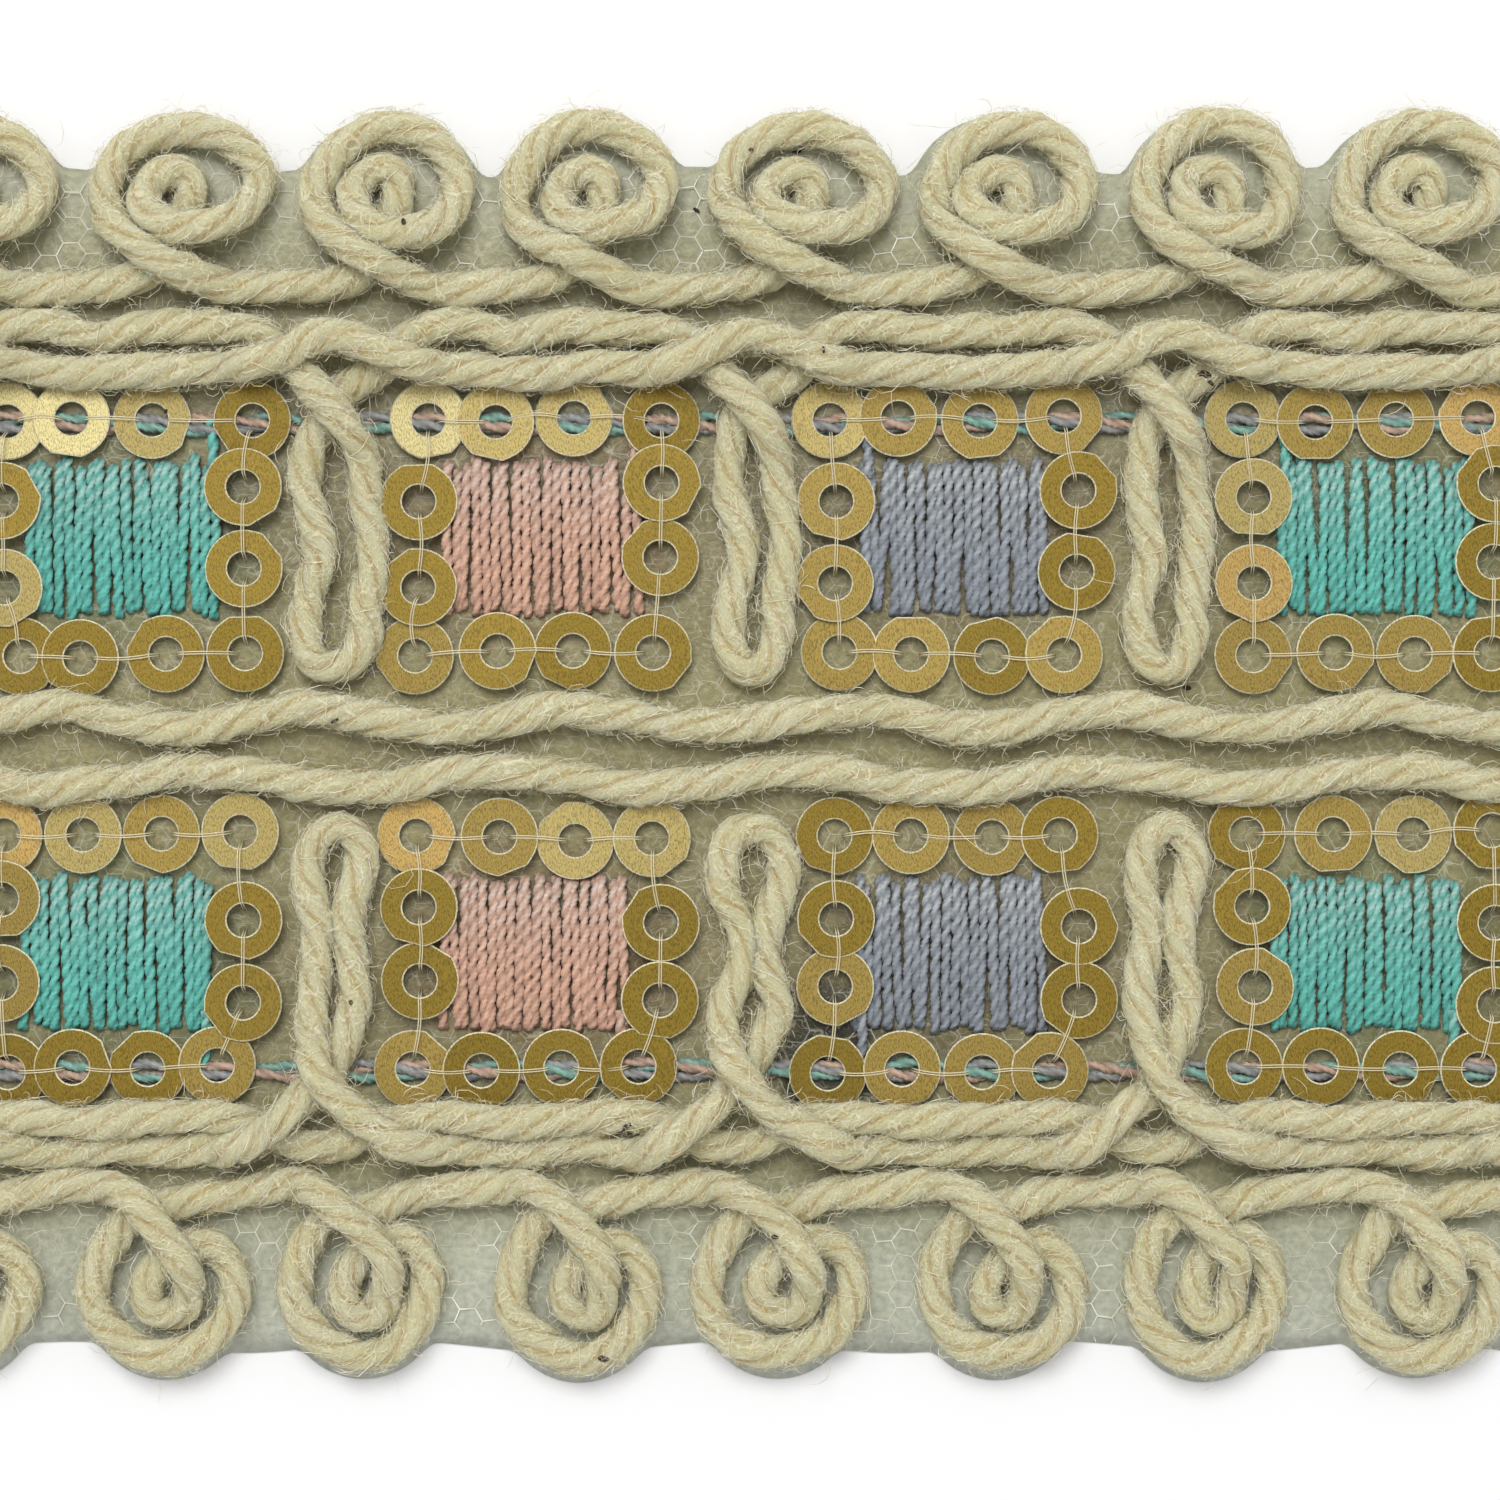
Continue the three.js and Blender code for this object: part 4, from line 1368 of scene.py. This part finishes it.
def jump_threads(y):
    """Three coloured threads behind the sequins, loosely twisted, greyed by the haze on them."""
    tubes = []
    xs = np.linspace(-END_X, END_X, 70)
    for number, colour in enumerate(DYES):
        angle = TURN * (xs / JUMP_TWIST + number / 3) + slow_noise(xs, 20, 0.5)
        across = y + STRAND_SPREAD * np.cos(angle) + slow_noise(xs, 30, 0.08)
        height = BED + 0.3 + 0.13 * np.sin(angle)
        rings, along = thread_tube(np.stack([xs, across, height], 1), pitch=2.4, step=0.36)
        tubes.append((rings, along, HAZE * np.array(HAZE_COLOUR) + (1 - HAZE) * np.array(DYES[colour])))
    return tubes


for row, y in JUMP_LINES.items():
    tubes = jump_threads(y)
    print("jump threads at", y, "mm:", [round(along[-1], 1) for rings, along, colour in tubes], "mm long")
    join_threads(f"jump_threads_{row}", tubes, THREAD)

# %% [markdown]
# ## Ring sequins
# A sequin is punched from thin metallised film. The punch leaves two small burrs with a short
# flat between them. Both edges carry a bright line, a painted highlight where the edge catches light.
# One ring is modelled: a circle, inset to make the hole, given thickness and a fine bevel. It is
# then copied to every place. Each copy is turned, tilted and toned on its own, and the ring's own burr turns
# with it.

# %% Sequin material
GRAIN_TURN = (0, 0, math.radians(28))
GRAIN_SCALE = (16000, 6500, 6500)


def sequin_material():
    values = {"Roughness": 0.42, "Metallic": 0.35, "Specular_IOR_Level": 0.3}
    material, tree, shader = new_material("gold_sequin", **values)
    place = object_place(tree)
    grain = place_node(tree, "Mapping", Vector=place, Rotation=GRAIN_TURN, Scale=GRAIN_SCALE)
    brushed = place_noise(tree, grain, Scale=1.0, Detail=3)
    speckle = place_range(tree, brushed, 0.36, 0.54, 0.5)
    colour = place_mix(tree, 1.0, place_tone_and_painted_light(tree), speckle, "MULTIPLY")
    tree.links.new(colour, shader.inputs["Base Color"])
    place_bump(tree, shader, brushed, 0.012, 0.6)
    return material


SEQUIN = sequin_material()
print("sequins are", SEQUIN.name)

# %% One ring
RING_RADIUS = 2.0
HOLE_RADIUS = 0.86
RING_THICKNESS = 0.16
RING_SIDES = 32
RING_BEVEL = 0.07
BURR_HALF_ANGLE = 22.5

bpy.ops.mesh.primitive_circle_add(vertices=RING_SIDES, radius=RING_RADIUS * MM, fill_type="NGON")
ring = bpy.context.object
bpy.ops.object.mode_set(mode="EDIT")
bpy.ops.mesh.select_all(action="SELECT")
bpy.ops.mesh.inset(thickness=(RING_RADIUS - HOLE_RADIUS) * math.cos(math.pi / RING_SIDES) * MM)
bpy.ops.mesh.delete(type="FACE")
bpy.ops.object.mode_set(mode="OBJECT")
for vertex in ring.data.vertices:
    angle = math.degrees(math.atan2(vertex.co.y, vertex.co.x))
    if vertex.co.length > 1.5 * MM and abs(angle) <= BURR_HALF_ANGLE + 1:
        chord = math.cos(math.radians(BURR_HALF_ANGLE)) / math.cos(math.radians(angle))
        at_burr = abs(angle) > BURR_HALF_ANGLE - 9
        vertex.co *= 1.025 if at_burr else chord + 0.02
ring.modifiers.new("thickness", "SOLIDIFY").thickness = RING_THICKNESS * MM
ring.modifiers["thickness"].offset = 0
bpy.ops.object.modifier_apply(modifier="thickness")
bevel = ring.modifiers.new("edge", "BEVEL")
bevel.width = RING_BEVEL * MM
bevel.segments = 1
bevel.limit_method = "ANGLE"
bpy.ops.object.modifier_apply(modifier="edge")
ring_points = np.array([vertex.co for vertex in ring.data.vertices]) / MM
ring_faces = [tuple(face.vertices) for face in ring.data.polygons]
ring_flat = np.array([abs(face.normal.z) > 0.95 for face in ring.data.polygons])
bpy.data.objects.remove(ring)
print("one ring has", len(ring_faces), "faces,", int(ring_flat.sum()), "of them flat")

# %% [markdown]
# The places are rows of a table, one for each frame: the x of the four rings of the far and near
# rows, the y of the pairs at left and right, and a letter for each ring's tone. B is bright
# gold, L light gold, M gold, D dark gold and C copper. All are measured from the middle of the frame.

# %% Frames of sequins
Frame = namedtuple("Frame", "far_x near_x left_y right_y tones")
FRAME_TABLE = {
    "upper_1": ((-6.0, -2.6, 1.5, 6.6), (-5.3, -2.2, 2.2, 6.3), (1.7, -2.5), (2.7, -1.5), "BBLD DDDD DL DD"),
    "upper_2": ((-5.7, -2.3, 1.7, 6.2), (-6.4, -2.2, 1.7, 5.8), (1.7, -2.6), (2.8, -1.0), "BLLD MDDD DD DD"),
    "upper_3": ((-6.5, -3.0, 1.2, 5.4), (-6.0, -2.3, 1.8, 5.5), (1.8, -2.3), (2.5, -1.6), "LMMM MMDM MM DD"),
    "upper_4": ((-6.7, -3.0, 1.1, 5.3), (-6.1, -2.0, 2.1, 6.0), (2.0, -2.2), (2.7, -1.4), "LMMC MMMD LC DD"),
    "lower_1": ((-6.1, -2.0, 2.0, 6.0), (-6.0, -2.6, 1.3, 4.8), (2.6, -1.7), (1.7, -2.5), "CLML DDDM MM DD"),
    "lower_2": ((-6.4, -2.1, 1.7, 5.7), (-6.6, -3.0, 1.1, 5.1), (2.4, -1.6), (1.5, -2.4), "CMLL MDDD DD DD"),
    "lower_3": ((-6.4, -2.4, 1.8, 5.3), (-6.6, -2.9, 1.3, 4.7), (1.8, -1.8), (1.4, -2.6), "DMMD DMMM DM DD"),
    "lower_4": ((-6.5, -2.1, 2.0, 6.0), (-6.6, -2.7, 1.4, 5.4), (2.3, -1.6), (1.6, -2.7), "DMLD DDDD DM DD"),
}
FRAME_HALF_HEIGHT = 6.0
FRAME_HALF_WIDTH = 6.2
TONES = {
    "B": paint(208, 194, 136),
    "L": paint(178, 159, 96),
    "M": paint(160, 136, 66),
    "D": paint(142, 118, 38),
    "C": paint(189, 157, 90),
}
# painted highlight: the bevel faces of every ring get this bright tone, where the edge catches the light
RIM_HIGHLIGHT = paint(255, 248, 214)
ROW_HEIGHT = BED + 0.62
SIDE_HEIGHT = BED + 1.08
STACK = 0.15
print("frames of rings:", len(FRAME_TABLE))

# %% Sew the rings down
def ring_seats(frame):
    """(x, y, height, tone) for the twelve rings of a frame, in sewing order."""
    tones = frame.tones.split()
    seats = []
    for place, (x, tone) in enumerate(zip(frame.far_x, tones[0])):
        seats.append([x, FRAME_HALF_HEIGHT, ROW_HEIGHT + STACK * (place % 2), tone])
    for place, (y, tone) in enumerate(zip(frame.right_y, tones[3])):
        seats.append([FRAME_HALF_WIDTH, y, SIDE_HEIGHT - STACK * place, tone])
    for place, (x, tone) in reversed(list(enumerate(zip(frame.near_x, tones[1])))):
        seats.append([x, -FRAME_HALF_HEIGHT, ROW_HEIGHT + STACK * (place % 2), tone])
    for place, (y, tone) in reversed(list(enumerate(zip(frame.left_y, tones[2])))):
        seats.append([-FRAME_HALF_WIDTH, y, SIDE_HEIGHT - STACK * place, tone])
    return seats


def turned(points, turn, tilt_x, tilt_y):
    c, s = math.cos(turn), math.sin(turn)
    spun = points @ np.array([[c, s, 0], [-s, c, 0], [0, 0, 1]])
    spun[:, 2] += spun[:, 0] * math.tan(tilt_x) + spun[:, 1] * math.tan(tilt_y)
    return spun


holes = {}
for label, row in FRAME_TABLE.items():
    middle = centre_of(f"stitches_{label}")
    points, faces, colours = [], [], []
    holes[label] = []
    for x, y, height, tone in ring_seats(Frame(*row)):
        place = np.array([middle.x + x, middle.y + y, height]) + rng.normal(0, [0.04, 0.1, 0.01])
        tilt = rng.normal(0, math.radians(1.3), 2)
        shape = turned(ring_points, rng.choice([-1, 1]) * rng.uniform(0.3, 2.6), *tilt)
        faces += [tuple(corner + len(points) * len(ring_points) for corner in face) for face in ring_faces]
        points.append(shape + place)
        gold = np.array(TONES[tone]) * rng.uniform(0.93, 1.05)
        # flat faces get the ring's gold, bevel faces the painted rim highlight
        colours.append(np.where(ring_flat[:, None], gold, RIM_HIGHLIGHT))
        holes[label].append(place)
    name = f"sequins_{label}"
    piece = make_piece(name, np.concatenate(points), faces, SEQUIN)
    piece.data.polygons.foreach_set("use_smooth", np.zeros(len(piece.data.polygons), bool))
    layer = piece.data.color_attributes.new("dye", "FLOAT_COLOR", "CORNER")
    per_face = np.concatenate(colours)
    sizes = [len(face) for face in faces]
    rgba = np.repeat(np.column_stack([per_face, np.ones(len(per_face))]), sizes, axis=0)
    layer.data.foreach_set("color", rgba.astype(np.float32).ravel())
    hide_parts(*[f"{name}_{side}" for side in ("far", "near", "left", "right")])
print("rings sewn down:", sum(len(places) for places in holes.values()))

# %% [markdown]
# ## Clear sewing thread
# The rings are held by a doubled clear filament that comes up in one hole, lies over both rims,
# and goes down in the next. It shows as a pale double line with a glint on it.

# %% Clear filament
CLEAR_COLOUR = (*paint(250, 240, 205), 1)
CLEAR_RADIUS = 0.035
CLEAR_SIDES = 4
CLEAR, tree, shader = new_material(
    "clear_filament",
    Roughness=0.16,
    Base_Color=CLEAR_COLOUR,
    Alpha=0.62,
    Coat_Weight=0.6,
)


def clear_piece(name, spines):
    spines = np.array(spines)
    count, steps = spines.shape[:2]
    rings = thin_tubes(spines, [0, 0, 1], np.full((count, steps), CLEAR_RADIUS), CLEAR_SIDES)
    make_piece(name, rings.reshape(-1, 3), tube_faces(count, steps, CLEAR_SIDES), CLEAR)


spines = []
t = np.linspace(0, 1, 9)
for places in holes.values():
    for start, end in zip(places, places[1:] + places[:1]):
        run = (end - start) * [1, 1, 0]
        sideways = np.cross(run / np.linalg.norm(run), [0, 0, 1])
        sway = rng.normal(0, 0.12)
        for half in (-0.06, 0.06):
            spread = (half + sway * np.sin(math.pi * t))[:, None] * sideways
            over = np.clip(np.sin(math.pi * t) * 3.2, 0, 1)
            height = BED + 0.05 + (max(start[2], end[2]) + 0.12 - BED - 0.05) * over
            spine = start + (end - start) * (0.1 + 0.8 * t)[:, None] + spread
            spine[:, 2] = height
            spines.append(spine)
clear_piece("clear_stitches", spines)
print("clear stitches:", len(spines))

# %% [markdown]
# The same filament couches the yarn down: every few millimetres a small hoop goes over it and back
# through the net. Most of a hoop sinks into the wool, so only its top shows, as a short glint.

# %% Couching hoops
HOOP_GAP = (2.5, 8.0)
HOOP_POINTS = 7

hoops = []
for path in paths.values():
    spot = rng.uniform(*HOOP_GAP)
    while spot < path.length - 1:
        angle = np.linspace(math.radians(25), math.radians(155), HOOP_POINTS) + rng.normal(0, 0.3)
        along = spot + np.linspace(-0.5, 0.5, HOOP_POINTS) * rng.normal(0, 1.1)
        phase = angle - np.interp(along, path.along, path.twist)
        proud = 0.05 * np.sin(np.linspace(0, math.pi, HOOP_POINTS)) - 0.01
        points, way = on_yarn(path, along, phase, proud, YARN_WIDTH, YARN_HEIGHT, PLIES, PLY_DEPTH)
        hoops.append(points)
        spot += rng.uniform(*HOOP_GAP)
clear_piece("couching_hoops", hoops)
print("couching hoops:", len(hoops))

# %% [markdown]
# ## Plant specks
# Wool of this kind is barely cleaned, and tiny dark bits of plant are still caught in it. Each is
# a small squashed ball, dropped from above on to whatever lies at its place. A row is x, y and how
# many times the usual size it is.

# %% Specks
SPECK_SIZE = (0.19, 0.1, 0.08)
SPECKS = [
    (25.4, 19.1, 2.6),
    (25.7, 18.7, 1.3),
    (24.7, 3.1, 1.5),
    (-18.2, -13.0, 1.0),
    (-4.1, -19.3, 1.8),
    (-5.3, -31.2, 1.8),
    (3.5, -24.8, 1.4),
    (4.6, 30.7, 1.3),
    (4.9, 30.9, 1.0),
    (2.2, 30.6, 1.0),
    (-0.6, 27.7, 1.2),
    (-30.1, 28.6, 1.0),
    (-15.4, 26.7, 1.3),
    (5.9, 20.2, 1.2),
    (-19.0, 1.4, 1.3),
    (-27.8, 17.3, 1.0),
]
speck_material, tree, shader = new_material("dark_plant_bits", Roughness=0.8)
brown = place_clouds(tree, 5000.0, paint(78, 46, 26), paint(38, 28, 22))
tree.links.new(brown, shader.inputs["Base Color"])

bpy.context.view_layer.update()
depsgraph = bpy.context.evaluated_depsgraph_get()
TOO_LOOSE = ("_fuzz", "_hair")


def landing_place(x, y):
    """The first surface below on anything but fuzz and hair, which would leave a speck hanging."""
    spot, thing = (x * MM, y * MM, 20 * MM), None
    while thing is None or thing.name.endswith(TOO_LOOSE):
        start = (spot[0], spot[1], spot[2] - 0.005 * MM)
        hit, spot, normal, index, thing, matrix = bpy.context.scene.ray_cast(depsgraph, start, (0, 0, -1))
    return spot, thing.name


landings = [landing_place(x, y) for x, y, times in SPECKS]
balls = []
for (x, y, times), (spot, thing) in zip(SPECKS, landings):
    bpy.ops.object.select_all(action="DESELECT")
    turn = (rng.normal(0, 0.3), rng.normal(0, 0.3), rng.uniform(0, math.pi))
    bpy.ops.mesh.primitive_ico_sphere_add(subdivisions=2, radius=MM, location=spot, rotation=turn)
    ball = bpy.context.object
    ball.scale = [times * size * rng.uniform(0.7, 1.2) for size in SPECK_SIZE]
    balls.append(ball)
bpy.ops.object.select_all(action="DESELECT")
for ball in balls:
    ball.select_set(True)
bpy.context.view_layer.objects.active = balls[0]
bpy.ops.object.join()
bpy.ops.object.transform_apply(location=True, rotation=True, scale=True)
specks = bpy.context.object
specks.name = "plant_specks"
specks.data.name = "plant_specks"
specks.data.materials.append(speck_material)
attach(specks, "root")
print("specks:", len(balls), "on", sorted({thing for spot, thing in landings}))
